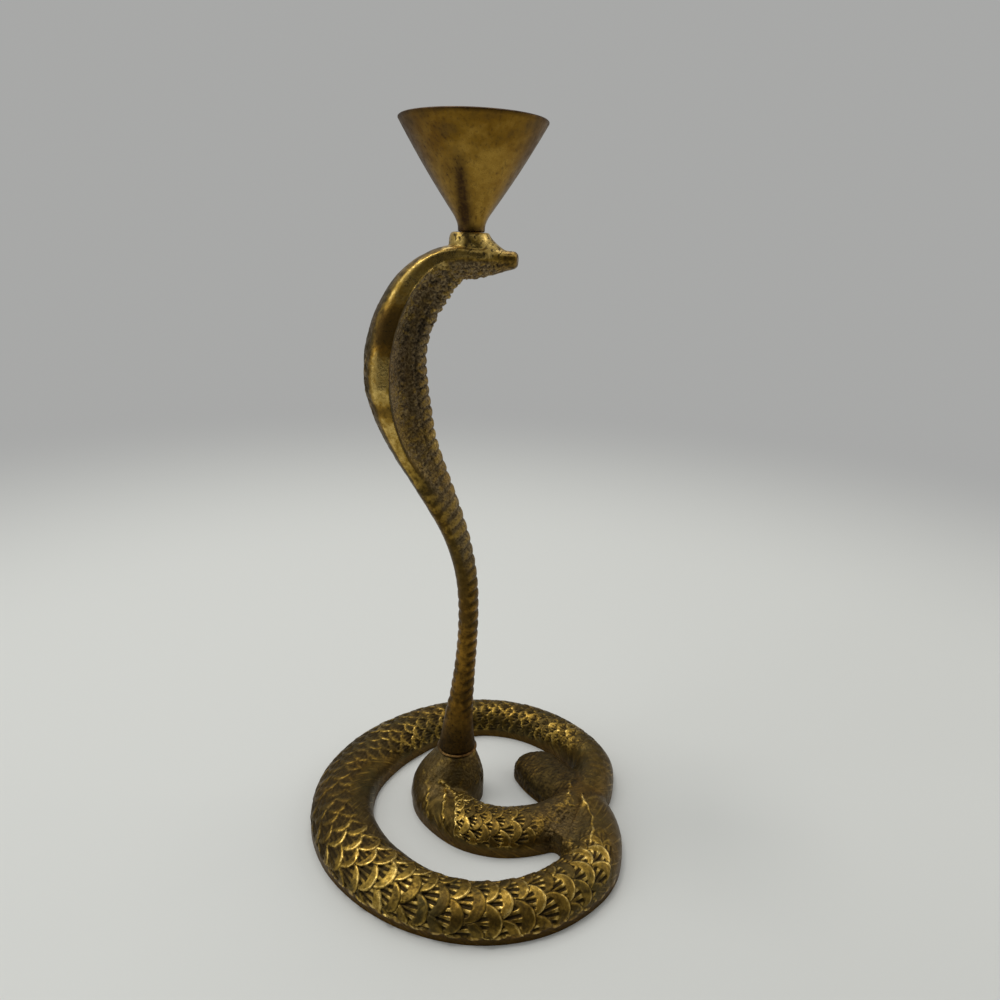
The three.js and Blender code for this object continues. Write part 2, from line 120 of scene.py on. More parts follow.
def smooth_line(rows, step):
    """Distance, place, direction and measures at every step along a smooth line through the rows."""
    rows = np.array(rows, float)
    p = np.vstack([2 * rows[0, :2] - rows[1, :2], rows[:, :2], 2 * rows[-1, :2] - rows[-2, :2]])
    places, measures = [], []
    for i in range(len(rows) - 1):
        a, b, c, d = p[i:i + 4]
        ta, tb, tc = [math.sqrt(np.linalg.norm(leg)) for leg in (b - a, c - b, d - c)]
        out = ((b - a) / ta - (c - a) / (ta + tb) + (c - b) / tb) * tb
        into = ((c - b) / tb - (d - b) / (tb + tc) + (d - c) / tc) * tb
        t = np.linspace(0, 1, 48, endpoint=i == len(rows) - 2)[:, None]
        places.append((2 * t**3 - 3 * t**2 + 1) * b + (t**3 - 2 * t**2 + t) * out
                      + (3 * t**2 - 2 * t**3) * c + (t**3 - t**2) * into)
        measures.append(rows[i, 2:] * (1 - t) + rows[i + 1, 2:] * t)
    places, measures = np.vstack(places), np.vstack(measures)
    run = np.concatenate([[0], np.cumsum(np.linalg.norm(np.diff(places, axis=0), axis=1))])
    along = np.linspace(0, run[-1], round(run[-1] / step) + 1)
    place = np.column_stack([np.interp(along, run, places[:, k]) for k in range(2)])
    measure = np.column_stack([np.interp(along, run, measures[:, k]) for k in range(measures.shape[1])])
    way = np.gradient(place, axis=0)
    return along, place, way / np.linalg.norm(way, axis=1)[:, None], measure


bend = smooth_line([[0, 0, 1], [10, 0, 1], [10, 10, 1]], 0.5)[0]
print("a smooth line round one corner is", round(bend[-1], 1), "mm long, and a bent one 20 mm")

# %% [markdown]
# ## Where the coil runs
# The line has three stretches: an inner loop that starts under the neck, a ring round the outside
# that is nearly a circle, and the tail, which turns in over the loop. The loop and the tail bend
# unevenly, so their rows are typed. The ring is worked out from its radius.

# %% The coil's line
LINE_STEP = 0.5
RING_X, RING_Y = 3.26, -0.06
RING_OUTER = 63.9
RING_LOBE = 1.1  # how far the ring is from round: it has three slight corners
RING_LOBE_AT = 62
RING_BACK, RING_LEFT, RING_FRONT = 17, 24, 20  # its width there
RING_HEIGHT = 12
LOOP_LENGTH = 92

# rows of x, y, width and height, from under the neck to the start of the ring
LOOP = [[-7.5, 13.1, 20, 11], [-12.6, 6.6, 20, 11], [-11.6, 0.1, 20, 11], [-6.2, -7.3, 20, 11],
        [2.6, -13.9, 20, 11], [13.4, -16.5, 20, 11], [23, -15.5, 19.8, 11.1], [32, -12.5, 19, 11.3],
        [40.6, -6.5, 18.2, 11.6], [47, 1.5, 17.4, 11.8], [51.6, 11.1, 17, 12]]
# and from the end of the ring to the tip of the tail
TAIL = [[48.7, -26.3, 20, 12], [49.8, -14.9, 20, 11.8], [47, -4.3, 20.2, 11.5], [42.5, 4.1, 20.4, 11],
        [37.3, 10, 20.6, 10.4], [32.2, 15.9, 20.6, 9.9], [28.4, 22, 19.8, 9.4], [26.2, 27.6, 18.6, 9]]


def ring_rows():
    rows = []
    for angle in np.linspace(26, 318, 15):
        width = (RING_BACK + (RING_LEFT - RING_BACK) * blend(85, 150, angle)
                 - (RING_LEFT - RING_FRONT) * blend(215, 270, angle))
        radius = RING_OUTER + RING_LOBE * math.cos(math.radians(3 * (angle - RING_LOBE_AT))) - width / 2
        rows.append([RING_X + radius * math.cos(math.radians(angle)),
                     RING_Y + radius * math.sin(math.radians(angle)), width, RING_HEIGHT])
    return rows


coil_run, coil_place, coil_way, coil_size = smooth_line(LOOP + ring_rows() + TAIL, LINE_STEP)
coil_right = np.column_stack([coil_way[:, 1], -coil_way[:, 0]])
TAIL_RUN = coil_run[-1]
SPLIT = int(len(coil_run) * 0.6)  # a step on the ring, far from both places where the body meets itself
LOOP_END = int(np.argmax(coil_run > LOOP_LENGTH))
print("the snake lies", round(TAIL_RUN), "mm long")

# %% [markdown]
# ## From rings of points to one casting
# A grid is the start of each shell: its squares are rolled up into a tube of rings, and both ends
# are closed. Where the real founder joined pieces of wax, the shells are joined and melted into
# one skin by a voxel remesh, which leaves no seams and gives even squares for the relief. A few
# rounds of smoothing then round the inner corners, as wax is rubbed with a thumb.

# %% Roll up shells and melt them


def skin(name, rings):
    """A closed body from rings of points: a flat sheet of squares, rolled up and capped."""
    rings = np.asarray(rings)
    count, sides, _ = rings.shape
    deselect()
    bpy.ops.mesh.primitive_grid_add(x_subdivisions=sides, y_subdivisions=count - 1)
    body = bpy.context.object
    body.name = body.data.name = name
    rolled = np.concatenate([rings, rings[:, :1]], axis=1) * MM
    body.data.vertices.foreach_set("co", rolled.ravel())
    bpy.ops.object.mode_set(mode="EDIT")
    bpy.ops.mesh.select_all(action="SELECT")
    bpy.ops.mesh.remove_doubles(threshold=1e-7)
    bpy.ops.mesh.fill_holes(sides=0)
    bpy.ops.mesh.select_all(action="SELECT")
    bpy.ops.mesh.normals_make_consistent(inside=False)
    bpy.ops.object.mode_set(mode="OBJECT")
    return body


def soften(body, rounds):
    """Rubs a skin smooth: each round moves every point half way to the middle of its neighbours."""
    pick(body)
    smooth = body.modifiers.new("soften", "SMOOTH")
    smooth.factor = 0.5
    smooth.iterations = rounds
    bpy.ops.object.modifier_apply(modifier=smooth.name)


def cast(name, shells, cell, rounds):
    """Melts overlapping shells into one skin with even cells, and softens the inner corners."""
    body = pick(*shells)
    bpy.ops.object.join()
    body.name = body.data.name = name
    body.data.remesh_voxel_size = cell * MM
    body.data.use_remesh_fix_poles = False
    bpy.ops.object.voxel_remesh()
    soften(body, rounds)
    print(name, "wax has", len(body.data.vertices), "points")
    return body

# %% [markdown]
# ## The coil, as wax
# The snake's body is a dome with a flat foot and a blunt tail. Its section is swept along the line
# in two lengths, which overlap a little on the ring. The shells go 4 mm deeper than the table, so
# that melting them can round the upper corners but never the foot, which is cut flat later.

# %% Sweep the coil
DEEP = 4  # how far the shells reach below the table
COIL_EDGE = 2.6  # height of the upright band round the foot of the coil
DOME_FULLNESS = 0.9  # 1 is an ellipse, less is fuller
TAIL_TIP = 6.5  # length over which the tail's blunt end is drawn in


def dome(width, height, square, half_steps=22):
    """The coil's section: upright bands at the edges and a full dome between them, flatter if square."""
    edge = min(COIL_EDGE, height / 4)
    turn = np.linspace(0, math.pi, 2 * half_steps)
    across = -width / 2 * np.cos(turn)
    up = edge + (height - edge) * np.sin(turn) ** (DOME_FULLNESS - 0.35 * square)
    return np.vstack([[-width / 2, -DEEP], np.column_stack([across, up]), [width / 2, -DEEP]])


def coil_shell(name, first, last, blunt):
    """One length of the body. Its section is flatter in the tail, whose end is drawn in if blunt."""
    rings = []
    stop = coil_run[last] - (TAIL_TIP if blunt else 0)
    for i in range(first, last + 1):
        draw = 1.0
        if coil_run[i] > stop:
            draw = max(1 - ((coil_run[i] - stop) / TAIL_TIP) ** 2, 0.01) ** 0.35
        width, height = coil_size[i]
        square = float(blend(35, 10, TAIL_RUN - coil_run[i]))
        section = dome(width * draw, height * draw ** 0.4, square)
        ground = coil_place[i] + section[:, :1] * coil_right[i]
        rings.append(np.column_stack([ground, section[:, 1]]))
    return skin(name, rings)


body_lengths = [coil_shell("coil_a", 0, SPLIT + 6, False),
                coil_shell("coil_b", SPLIT - 6, len(coil_run) - 1, True)]
print("the two lengths have", [len(length.data.vertices) for length in body_lengths], "points")

# %% [markdown]
# ## The seat and the web
# The seat looks like wax that was pushed up round the neck's foot: a round stem that spreads
# towards the table, more to the left and the front. It is a stack of circles that grow and shift.
# A web of metal fills the corner between the inner loop and the ring, with a rounded gap beside it.

# %% Raise the seat, fill the corner and melt all together
SEAT_RADIUS = 7.8
SEAT_LEAN_X, SEAT_LEAN_Y = 3.6, 1.8  # how far its foot lies from the neck's axis
SEAT_SPREAD_X, SEAT_SPREAD_Y = 7.2, 5.2  # how much wider its foot is
NOTCH_X, NOTCH_Y, NOTCH_RADIUS = 33.2, -25.9, 3.3  # the rounded end of the gap beside the web
COIL_CELL = 1.2


def seat_shell():
    # share of the height, lean and spread there
    levels = [[-0.2, 1, 1], [0, 1, 1], [0.3, 0.88, 0.95], [0.5, 0.72, 0.78], [0.68, 0.47, 0.52],
              [0.84, 0.2, 0.22], [0.92, 0.05, 0.03], [1, 0, 0]]
    turn = np.linspace(0, 2 * math.pi, 96, endpoint=False)
    rings = []
    for share in np.linspace(-0.2, 1, 40):
        lean, spread = [np.interp(share, [row[0] for row in levels], [row[k] for row in levels])
                        for k in (1, 2)]
        rings.append(np.column_stack([
            NECK_X - SEAT_LEAN_X * lean + (SEAT_RADIUS + SEAT_SPREAD_X * spread) * np.cos(turn),
            NECK_Y - SEAT_LEAN_Y * lean + (SEAT_RADIUS + SEAT_SPREAD_Y * spread) * np.sin(turn),
            np.full(96, share * SEAT_TOP)]))
    return skin("seat", rings)


def web_shell():
    """Metal in the corner between the inner loop and the front of the ring, with a hollow end."""
    turn = np.radians(np.linspace(90, -60, 12))
    end = np.column_stack([NOTCH_X + NOTCH_RADIUS * np.cos(turn), NOTCH_Y + NOTCH_RADIUS * np.sin(turn)])
    outline = np.vstack([end, [[47, -29], [47, -12], [NOTCH_X, -12]]])
    middle = outline.mean(axis=0)
    rings = []
    for up, shrink in [(-DEEP, 1), (2.6, 1), (7, 0.96), (9.3, 0.86), (9.6, 0.6)]:
        rings.append(np.column_stack([middle + (outline - middle) * shrink, np.full(len(outline), up)]))
    return skin("web", rings)


coil = cast("coil_body", body_lengths + [seat_shell(), web_shell()], COIL_CELL, 4)

# %% [markdown]
# ## Where a point lies on the snake
# Each point of the skin is looked up on the coil's line: how far along the body it is, how far
# across it, and whether it is near the crease where two lengths of the body meet. Scales are
# drawn in these two measures, so that they follow the body round every bend.

# %% Look up the points


def points_of(body):
    points = np.empty(len(body.data.vertices) * 3)
    body.data.vertices.foreach_get("co", points)
    return points.reshape(-1, 3) / MM


def nearest(at, line, batch=4000):
    """The nearest point of a line for each of many points, a few thousand at a time."""
    index = np.empty(len(at), int)
    for start in range(0, len(at), batch):
        apart = at[start:start + batch, None] - line[None]
        index[start:start + batch] = np.argmin((apart ** 2).sum(axis=2), axis=1)
    return index


def lookup(points, first, last):
    """Nearest step of the line, how far ahead of it, angle round the dome and height of the dome."""
    line, way, right = coil_place[first:last], coil_way[first:last], coil_right[first:last]
    index = np.minimum(nearest(points[:, :2], line[::2]) * 2, len(line) - 1)
    off = points[:, :2] - line[index]
    aside = (off * right[index]).sum(axis=1)
    ahead = (off * way[index]).sum(axis=1)
    half = coil_size[first:last][index, 0] / 2
    height = coil_size[first:last][index, 1]
    flat = np.clip(np.abs(aside) / half, 0, 1)
    outside = (np.abs(aside) > half + 0.3) | (np.abs(ahead) > 1.2)
    top = np.where(outside, -5, COIL_EDGE + (height - COIL_EDGE) * np.sqrt(1 - flat ** 2) ** DOME_FULLNESS)
    lift = np.clip(points[:, 2] - COIL_EDGE, 0, None) * half / (height - COIL_EDGE)
    angle = np.degrees(np.arctan2(aside, np.maximum(lift, 1e-6)))
    return index + first, ahead, angle, top

# %% [markdown]
# ## Which length of the body shows
# Where the tail lies beside the loop and the ring, a point can be near two lengths of the body.
# The length whose dome is higher there is the one that shows. Where both are about as high, the
# point lies in the crease between them.

# %% Tell the lengths apart


def on_the_coil(points):
    """Where every point is: the step of the line near it, its distance along, its angle across (-90
    is the inner foot and 90 the outer foot), its closeness to a crease and to the lip over one."""
    near_a, ahead_a, angle_a, top_a = lookup(points, 0, SPLIT)
    near_b, ahead_b, angle_b, top_b = lookup(points, SPLIT, len(coil_run))
    on_b = top_b > top_a
    near = np.where(on_b, near_b, near_a)
    far_apart = np.abs(near_a - near_b) > 60
    return SimpleNamespace(
        near=near,
        along=coil_run[near] + np.where(on_b, ahead_b, ahead_a),
        angle=np.where(on_b, angle_b, angle_a),
        crease=(1 - blend(0.2, 1.6, np.abs(top_a - top_b))) * far_apart * (np.maximum(top_a, top_b) > 0),
        lip=np.exp(-((top_b - top_a - 1.6) / 0.9) ** 2) * far_apart * (top_a > 0))


points = points_of(coil)
print(int((on_the_coil(points).crease > 0.5).sum()), "of", len(points), "points lie in a crease")

# %% [markdown]
# ## The pattern changes along the body
# The modeller cut big fans with finger marks at the front of the ring, narrower ridged scales on
# its left and small rounded ones at the back, and left the tail almost plain. A table says this
# for a few places along the body, and everything between them is blended.

# %% Lay out the pattern
# columns: x and y of a place on the body, scale length, relief, fingers, ridges, first and last
# angle across
PATTERN = [
    [-9.0, -4.0, 5.2, 0.85, 1.0, 0.0, -62, 70],
    [0.5, -12.7, 5.4, 0.90, 1.0, 0.0, -62, 74],
    [8.0, -16.0, 6.2, 0.90, 1.0, 0.0, -62, 76],
    [18.0, -16.3, 7.0, 0.75, 0.8, 0.0, -62, 74],
    [25.0, -15.0, 7.2, 0.45, 0.6, 0.2, -60, 62],
    [30.0, -13.4, 7.4, 0.20, 0.2, 0.3, -60, 20],
    [38.0, -8.5, 7.0, 0.40, 0.3, 0.3, -60, 10],
    [51.0, 22.0, 6.4, 0.15, 0.3, 0.0, -30, 35],
    [45.0, 36.0, 6.0, 0.60, 0.3, 0.2, -58, 40],
    [30.0, 49.0, 6.2, 0.75, 0.2, 0.3, -84, 45],
    [4.0, 56.0, 6.4, 0.70, 0.2, 0.4, -88, 50],
    [-22.0, 48.0, 7.0, 0.75, 0.2, 0.4, -86, 50],
    [-37.0, 36.0, 7.6, 0.72, 0.1, 0.6, -74, 60],
    [-47.0, 14.0, 8.6, 0.50, 0.0, 1.0, -30, 72],
    [-48.5, -4.0, 9.0, 0.48, 0.0, 1.0, -15, 78],
    [-44.0, -24.0, 9.2, 0.60, 0.1, 0.8, -18, 80],
    [-33.0, -39.0, 9.6, 0.85, 0.5, 0.4, -30, 84],
    [-15.0, -50.0, 10.0, 1.00, 1.0, 0.0, -40, 84],
    [10.0, -53.5, 10.2, 1.05, 1.0, 0.0, -48, 84],
    [34.0, -44.5, 10.0, 1.00, 1.0, 0.0, -52, 76],
    [44.0, -34.0, 9.2, 0.85, 1.0, 0.0, -60, 56],
    [48.7, -26.0, 8.4, 0.30, 0.6, 0.1, -60, 30],
    [49.8, -17.0, 8.4, 0.04, 0.3, 0.3, -60, 0],
    [43.0, 3.4, 8.0, 0.04, 0.0, 0.5, -60, -10],
    [26.0, 27.5, 8.0, 0.00, 0.0, 0.5, -50, -10],
]


def pattern_along():
    """The pattern's columns at every step of the coil's line."""
    rows = np.array(PATTERN)
    steps = []
    for x, y in rows[:, :2]:
        steps.append(coil_run[np.argmin(np.hypot(coil_place[:, 0] - x, coil_place[:, 1] - y))])
    steps = np.maximum.accumulate(steps)
    return [np.interp(coil_run, steps, rows[:, k]) for k in range(2, 8)]


length_at, relief_at, finger_at, ridge_at, first_at, last_at = pattern_along()
phase_at = np.concatenate([[0], np.cumsum(np.diff(coil_run) / length_at[1:])])
print("about", round(phase_at[-1]), "scales lie along the body")

# %% [markdown]
# ## One scale
# A scale is a disc. Its free rim is a smooth rubbed crescent with a painted highlight along its
# edge, and a painted shadow lines the outside of the rim. The root lies deeper and is dark, and
# short raised fingers fan out over it. On ridged scales the crescent is narrower and the painted
# highlight lies on one side of the edge only. A formula gives the height at each place of the
# disc, and tells as well how bright and how dark it is there.

# %% One scale
FINGER_STEP = 13  # degrees between two fingers


def one_scale(u, v, far, ridge, lift, tone):
    """Height, brightness and darkness on a scale at u ahead of its middle and v aside, in radii, with a
    painted rim highlight and a painted edge shadow.
    """
    from_root = np.hypot(u + 0.72, v)
    crescent_at = 1.12 + 0.25 * ridge
    crescent = blend(crescent_at - 0.12, crescent_at, from_root)
    tip = blend(crescent_at - 0.45, crescent_at - 0.15, from_root)
    root = 1 - blend(-0.9, 0.3, u)
    spread = np.degrees(np.arctan2(v, u + 1.6)) + 5 * tone
    finger = blend(0.2, 0.7, 0.5 + 0.5 * np.cos(np.radians(spread * 360 / FINGER_STEP)))
    finger *= 1 - blend(33, 39, np.abs(spread))
    reach = blend(-0.75, -0.35, u)
    low = (1 - crescent) * (0.42 + 0.25 * reach * (1 - finger) - 0.3 * finger * reach)
    edge = blend(0.86, 1.0, far)
    height = (-0.55 * root - low - 0.3 * edge * edge + 0.15 * lift
              + 0.06 * blend(0.6, 0.92, far) * (u > 0))
    # A painted highlight line along the free rim; on ridged scales it stays on one side only.
    bright = np.exp(-((far - 0.9) / 0.06) ** 2) * blend(-0.1, 0.5, u) * (1 + 1.1 * tone)
    bright *= 1 - ridge * (1 - 0.95 * blend(0.05, 0.4, -v))
    shine = np.clip(0.31 * crescent * (1 + 1.3 * tone) * (1 - 0.3 * ridge) + (0.42 + 0.4 * ridge) * bright
                    + (0.3 + 0.45 * tip) * finger * reach * (1 - crescent) * (1 - ridge), 0, 1)
    # A painted shadow along the outer edge of the rim: less shine there, and more darkness in the grime
    # below.
    shine *= 1 - 0.7 * blend(0.92, 1.0, far)
    grime = np.clip((1 - crescent) * (1 - 0.8 * finger * reach * (1 - ridge)) * 0.8
                    + 0.5 * root + 0.6 * blend(0.93, 1.0, far), 0, 1)
    return height, shine, grime


tip_of_scale = [round(float(part), 2) for part in one_scale(0.7, 0.0, 0.7, 0.0, 0.0, 0.0)]
print("height, shine and grime near the rim of a scale:", tip_of_scale)

# %% [markdown]
# ## Rows of scales
# Each row is half a scale out of step with the next, and the free rim of a scale hides the root of
# the scale ahead of it. Every scale is a little out of its place and of its own size and tone, as
# a hand with a punch leaves it. For each point only the scale on top counts, so the scales
# overlap without any of them being a mesh of its own.

# %% Rows of scales
ROW = 0.52  # distance between two rows, in scale lengths
REACH = 0.58  # radius of a scale, in scale lengths


def scale_field(phase, across, ridge):
    """Height, brightness and darkness of the topmost scale over each point, with a painted rim
    highlight and a painted edge shadow. The height is 0 on its flat crescent, and phase and across
    are counted in scale lengths."""
    chance = np.random.default_rng(11).random((5, 32, 256)) - 0.5
    best = np.full(len(phase), np.inf)
    look = [np.zeros(len(phase)) for _ in range(3)]
    across = across * (1 + 0.4 * ridge)
    rows = across / ROW
    for step_row in (-1, 0, 1):
        row = np.round(rows) + step_row
        odd = np.mod(row, 2) * 0.5
        for step_along in (-1, 0, 1):
            cell = np.round(phase - odd) + step_along
            r, c = (row.astype(int) + 16) % 32, cell.astype(int) % 256
            ahead, aside, size, lift, tone = [chance[k][r, c] for k in range(5)]
            radius = REACH * (1 + 0.18 * size)
            u = (phase - (cell + odd) - 0.18 * ahead) / radius
            v = ((rows - row) * ROW - 0.13 * aside) / radius
            far = np.hypot(u, v)
            order = cell + odd + 0.1 * ahead
            over = (far <= 1) & (order < best)
            best = np.where(over, order, best)
            here = one_scale(u, v, far, ridge, lift, tone)
            look = [np.where(over, new, old) for new, old in zip(here, look)]
    return look


sample = scale_field(np.linspace(0, 2, 9), np.zeros(9), np.zeros(9))[0]
print("heights along a row, every quarter of a scale:", np.round(sample, 2))

# %% [markdown]
# ## Scales on the coil
# The field of scales is laid over the coil by distance along and girth across. It fades out low
# on the sides, at the crease and round the seat, where the real ones are worn or were never cut.

# %% Wrap them round the body
SEAT_X, SEAT_Y = NECK_X - 3, NECK_Y - 1.5  # the middle of the seat, seen from above


def from_seat(points):
    """Distance from the middle of the seat, seen from above."""
    return np.hypot(points[:, 0] - SEAT_X, points[:, 1] - SEAT_Y)


def scales_at(points):
    """All that on_the_coil tells, and the girth, the strength and the look of the scales there."""
    spots = on_the_coil(points)
    near, along, angle = spots.near, spots.along, spots.angle
    length = length_at[near]
    phase = phase_at[near] + (along - coil_run[near]) / length
    girth = np.radians(angle) * (coil_size[near, 0] / 2 + coil_size[near, 1] - COIL_EDGE) / 2
    girth = girth + np.sign(angle) * np.clip(COIL_EDGE - points[:, 2], 0, None)
    wavy = 3 * np.sin(phase * 2 * math.pi)
    inside = blend(first_at[near] - 9, first_at[near] + 5, angle + wavy)
    inside *= 1 - blend(last_at[near] - 2, last_at[near] + 4, angle - wavy)
    inside *= (1 - spots.crease) * blend(11.5, 15.5, from_seat(points)) * blend(2.8, 3.6, points[:, 2])
    inside *= np.where(near < LOOP_END, blend(-4.4, -2.8, points[:, 0]), 1)
    spots.girth = girth
    spots.inside = inside
    spots.relief = relief_at[near] * inside
    spots.level, spots.shine, spots.grime = scale_field(phase, (girth + 1.5) / length, ridge_at[near])
    return spots


print("scales cover", round(100 * float((scales_at(points).relief > 0.05).mean())), "% of the coil")

# %% [markdown]
# ## Raised lines
# Where the loop leaves the seat and where the tail passes the ring, the real casting has a few
# raised wavy lines instead of scales. Each is a line on the table, bowed between its cusps, and a
# point is raised by how close it lies to the line.

# %% Draw the raised lines
# places on the table that a line runs through, its strength, and the distance between its cusps
CHASED = [
    ([(41, 3.9), (41.7, 1.4), (40.6, -1), (40.2, -3.6), (41.4, -6)], 1.0, 7),
    ([(45, -4), (46.2, -7), (45, -9.6)], 0.9, 5),
    ([(38.6, -8), (40.5, -9.7), (42.8, -10.4)], 0.7, 4),
    ([(45, -3), (47.4, -11.4), (48.2, -16), (47.9, -22.8), (46.2, -30)], 0.8, 7),
    ([(-11.2, -0.8), (-9.4, -1.7), (-7.2, -2.6), (-5.2, -4.4), (-4.3, -6.2)], 1.0, 12),
    ([(-8.7, -2.7), (-8.6, -8.1), (-8.8, -13.2), (-8.4, -18)], 0.9, 3.4),
    ([(-4.8, -4.6), (-3.8, -13), (-3.4, -24)], 1.0, 3),
    ([(-15.4, -1), (-15.7, -7), (-14.8, -13)], 0.5, 3.6),
]
CHASED_WIDTH = 0.46


def chased_line(points, line, pitch):
    """How close each point is to a line on the table, 1 on it and 0 away from it."""
    line = np.array(line, float)
    closest, run, start = np.full(len(points), 99.0), np.zeros(len(points)), 0.0
    for a, b in zip(line, line[1:]):
        length = np.linalg.norm(b - a)
        way = (b - a) / length
        off = points[:, :2] - a
        at = np.clip(off @ way, 0, length)
        side = off[:, 0] * way[1] - off[:, 1] * way[0]
        bow = 0.5 * np.abs(np.sin((start + at) * math.pi / pitch)) - 0.25
        gap = np.hypot(off @ way - at, side - bow)
        run = np.where(gap < closest, start + at, run)
        closest = np.minimum(closest, gap)
        start += length
    ends = blend(-0.5, 2, run) * (1 - blend(start - 2, start + 0.5, run))
    uneven = 0.78 + 0.22 * np.sin(run * 2 * math.pi / pitch + 1)
    return np.exp(-(closest / CHASED_WIDTH) ** 2) * uneven * ends


def chased_at(points):
    """How strongly the raised lines stand out at each point of the upper side."""
    total = np.zeros(len(points))
    for line, strength, pitch in CHASED:
        total += strength * chased_line(points, line, pitch)
    return np.clip(total, 0, 1) * blend(4, 5.5, points[:, 2]) * (1 - blend(12.5, 14.5, points[:, 2]))


print(len(CHASED), "raised lines run over", int((chased_at(points) > 0.3).sum()), "points of the wax")

# %% [markdown]
# ## Two places without a pattern
# A mottled patch fills the corner where the inner loop meets the ring, and the first bend beside
# the seat has only soft cells, as if it was never chased. Both are found by where they lie.

# %% Find the mottled patch and the first bend


def patch_at(points):
    """The mottled patch where the inner loop meets the ring."""
    patch = np.exp(-((points[:, 0] - 36) / 9) ** 2 - ((points[:, 1] + 17) / 9) ** 2)
    return patch * blend(0.4, 1.6, points[:, 2])


def seat_side_at(points, near):
    """The first bend of the loop, between the seat and the scales."""
    side = (near < LOOP_END) * (1 - blend(-6, -3, points[:, 0])) * blend(3, 5, points[:, 2])
    return side * (1 - blend(12, 14, points[:, 2])) * (1 - blend(4, 10, points[:, 1]))


print("the patch lies on", int((patch_at(points) > 0.5).sum()), "points of the wax")

# %% [markdown]
# ## Finer squares where there is detail
# The wax has coarse squares of 1.2 mm, which is enough for the plain flanks. Squares are split in
# four only under the scales and marks and at the tail's end, and once more under the deep fans and
# the raised lines. So the points are spent where the relief needs them, and the piece stays light.

# %% Refine the skin


def refine(body, wanted):
    """Splits every square whose corners are all wanted into four."""
    pick(body)
    bpy.ops.object.mode_set(mode="EDIT")
    bpy.ops.mesh.select_mode(type="VERT")
    bpy.ops.mesh.select_all(action="DESELECT")
    bpy.ops.object.mode_set(mode="OBJECT")
    body.data.vertices.foreach_set("select", wanted)
    bpy.ops.object.mode_set(mode="EDIT")
    bpy.ops.mesh.select_mode(type="VERT")
    bpy.ops.mesh.subdivide(number_cuts=1, smoothness=1)
    bpy.ops.object.mode_set(mode="OBJECT")
    print(body.name, "refined to", len(body.data.vertices), "points")


spots = scales_at(points)
marked = (chased_at(points) >= 0.02) | (patch_at(points) >= 0.3)
marked |= seat_side_at(points, spots.near) >= 0.2
tail = (spots.along > TAIL_RUN - 40) & (points[:, 2] > 0)
refine(coil, (spots.relief > 0.02) | (spots.lip > 0.3) | marked | tail)

points = points_of(coil)
spots = scales_at(points)
marked = (chased_at(points) >= 0.05) | (patch_at(points) >= 0.5)
deep = (spots.relief > 0.05) & ((finger_at[spots.near] > 0.45) | (spots.lip > 0.4))
refine(coil, deep | marked)
soften(coil, 3)

# %% [markdown]
# ## Unevenness
# A casting is never quite smooth. A few waves of different length, all of them sums of sines, give
# the plain parts the slight unevenness of sand-cast metal. A noise texture could do this too, but
# the finish needs some of the same waves, so they are worked out for the points.

# %% Waves, and a way to move points along their normals


def lumps(at, pitch, seed, layers=5):
    """Soft random waves of about this pitch in millimetres, between -1 and 1."""
    rng = np.random.default_rng(seed)
    total = np.zeros(len(at))
    for _ in range(layers):
        way = rng.normal(size=3)
        way *= 2 * math.pi / pitch / np.linalg.norm(way) * rng.uniform(0.7, 1.4)
        total += np.sin(at @ way + rng.uniform(0, 6.3) + 1.7 * np.sin(at @ way[[1, 2, 0]] * 0.6))
    return total / layers


def normals_of(body):
    normals = np.empty(len(body.data.vertices) * 3)
    body.data.vertex_normals.foreach_get("vector", normals)
    return normals.reshape(-1, 3)


def push(body, points, normals, move):
    """Moves each point of a body by its own distance, outwards along its normal."""
    body.data.vertices.foreach_set("co", ((points + normals * move[:, None]) * MM).ravel())
    body.data.update()
    print(body.name, "has a relief from", round(move.min(), 2), "to", round(move.max(), 2), "mm")


waves = lumps(points, 5.5, 1)
print("the waves go from", round(waves.min(), 2), "to", round(waves.max(), 2))

# %% [markdown]
# ## The coil's relief
# The points are moved along their normals: scales, lines and the scalloped hem above the foot
# stand out, the ledge under the hem and the pits go in. This is real geometry and not a bump in
# the finish, because it shows in the outline and catches the light.

# %% Raise the coil's relief
HEM_HEIGHT = 3.4


def marks_at(points):
    """All that scales_at tells, and every other mark on the coil, each from 0 to 1 or -1 to 1."""
    spots = scales_at(points)
    up = points[:, 2]
    on_side = blend(0.55, 0.85, relief_at[spots.near]) * (spots.near >= LOOP_END)
    spots.above = blend(0.4, 1.6, up)
    spots.patch = patch_at(points)
    spots.tail_end = blend(TAIL_RUN - 42, TAIL_RUN - 30, spots.along) * (spots.near > SPLIT) * spots.above
    spots.chased = chased_at(points)
    cells = np.clip(lumps(points * (1, 0.7, 0.7), 3.4, 7, 4) * 1.6, -1, 1)
    spots.cells = cells * seat_side_at(points, spots.near)
    spots.pits = np.clip(lumps(points, 2.2, 4, 4) + 0.5 * lumps(points, 1.4, 5, 4), -1, 0.3)
    streaks = blend(0.0, 0.6, lumps(points * (1, 1, 0.28), 1.8, 8)) * (1 - blend(13, 19, from_seat(points)))
    spots.streaks = streaks * blend(9, 12, up)
    scallop = 0.35 * np.sin(spots.along * 1.1)
    spots.hem = np.exp(-((up - HEM_HEIGHT - scallop) / 0.4) ** 2) * (spots.angle > 60) * on_side
    spots.under_hem = (1 - blend(COIL_EDGE, HEM_HEIGHT, up)) * blend(60, 70, spots.angle)
    spots.under_hem *= on_side * blend(0, 0.6, up)
    return spots


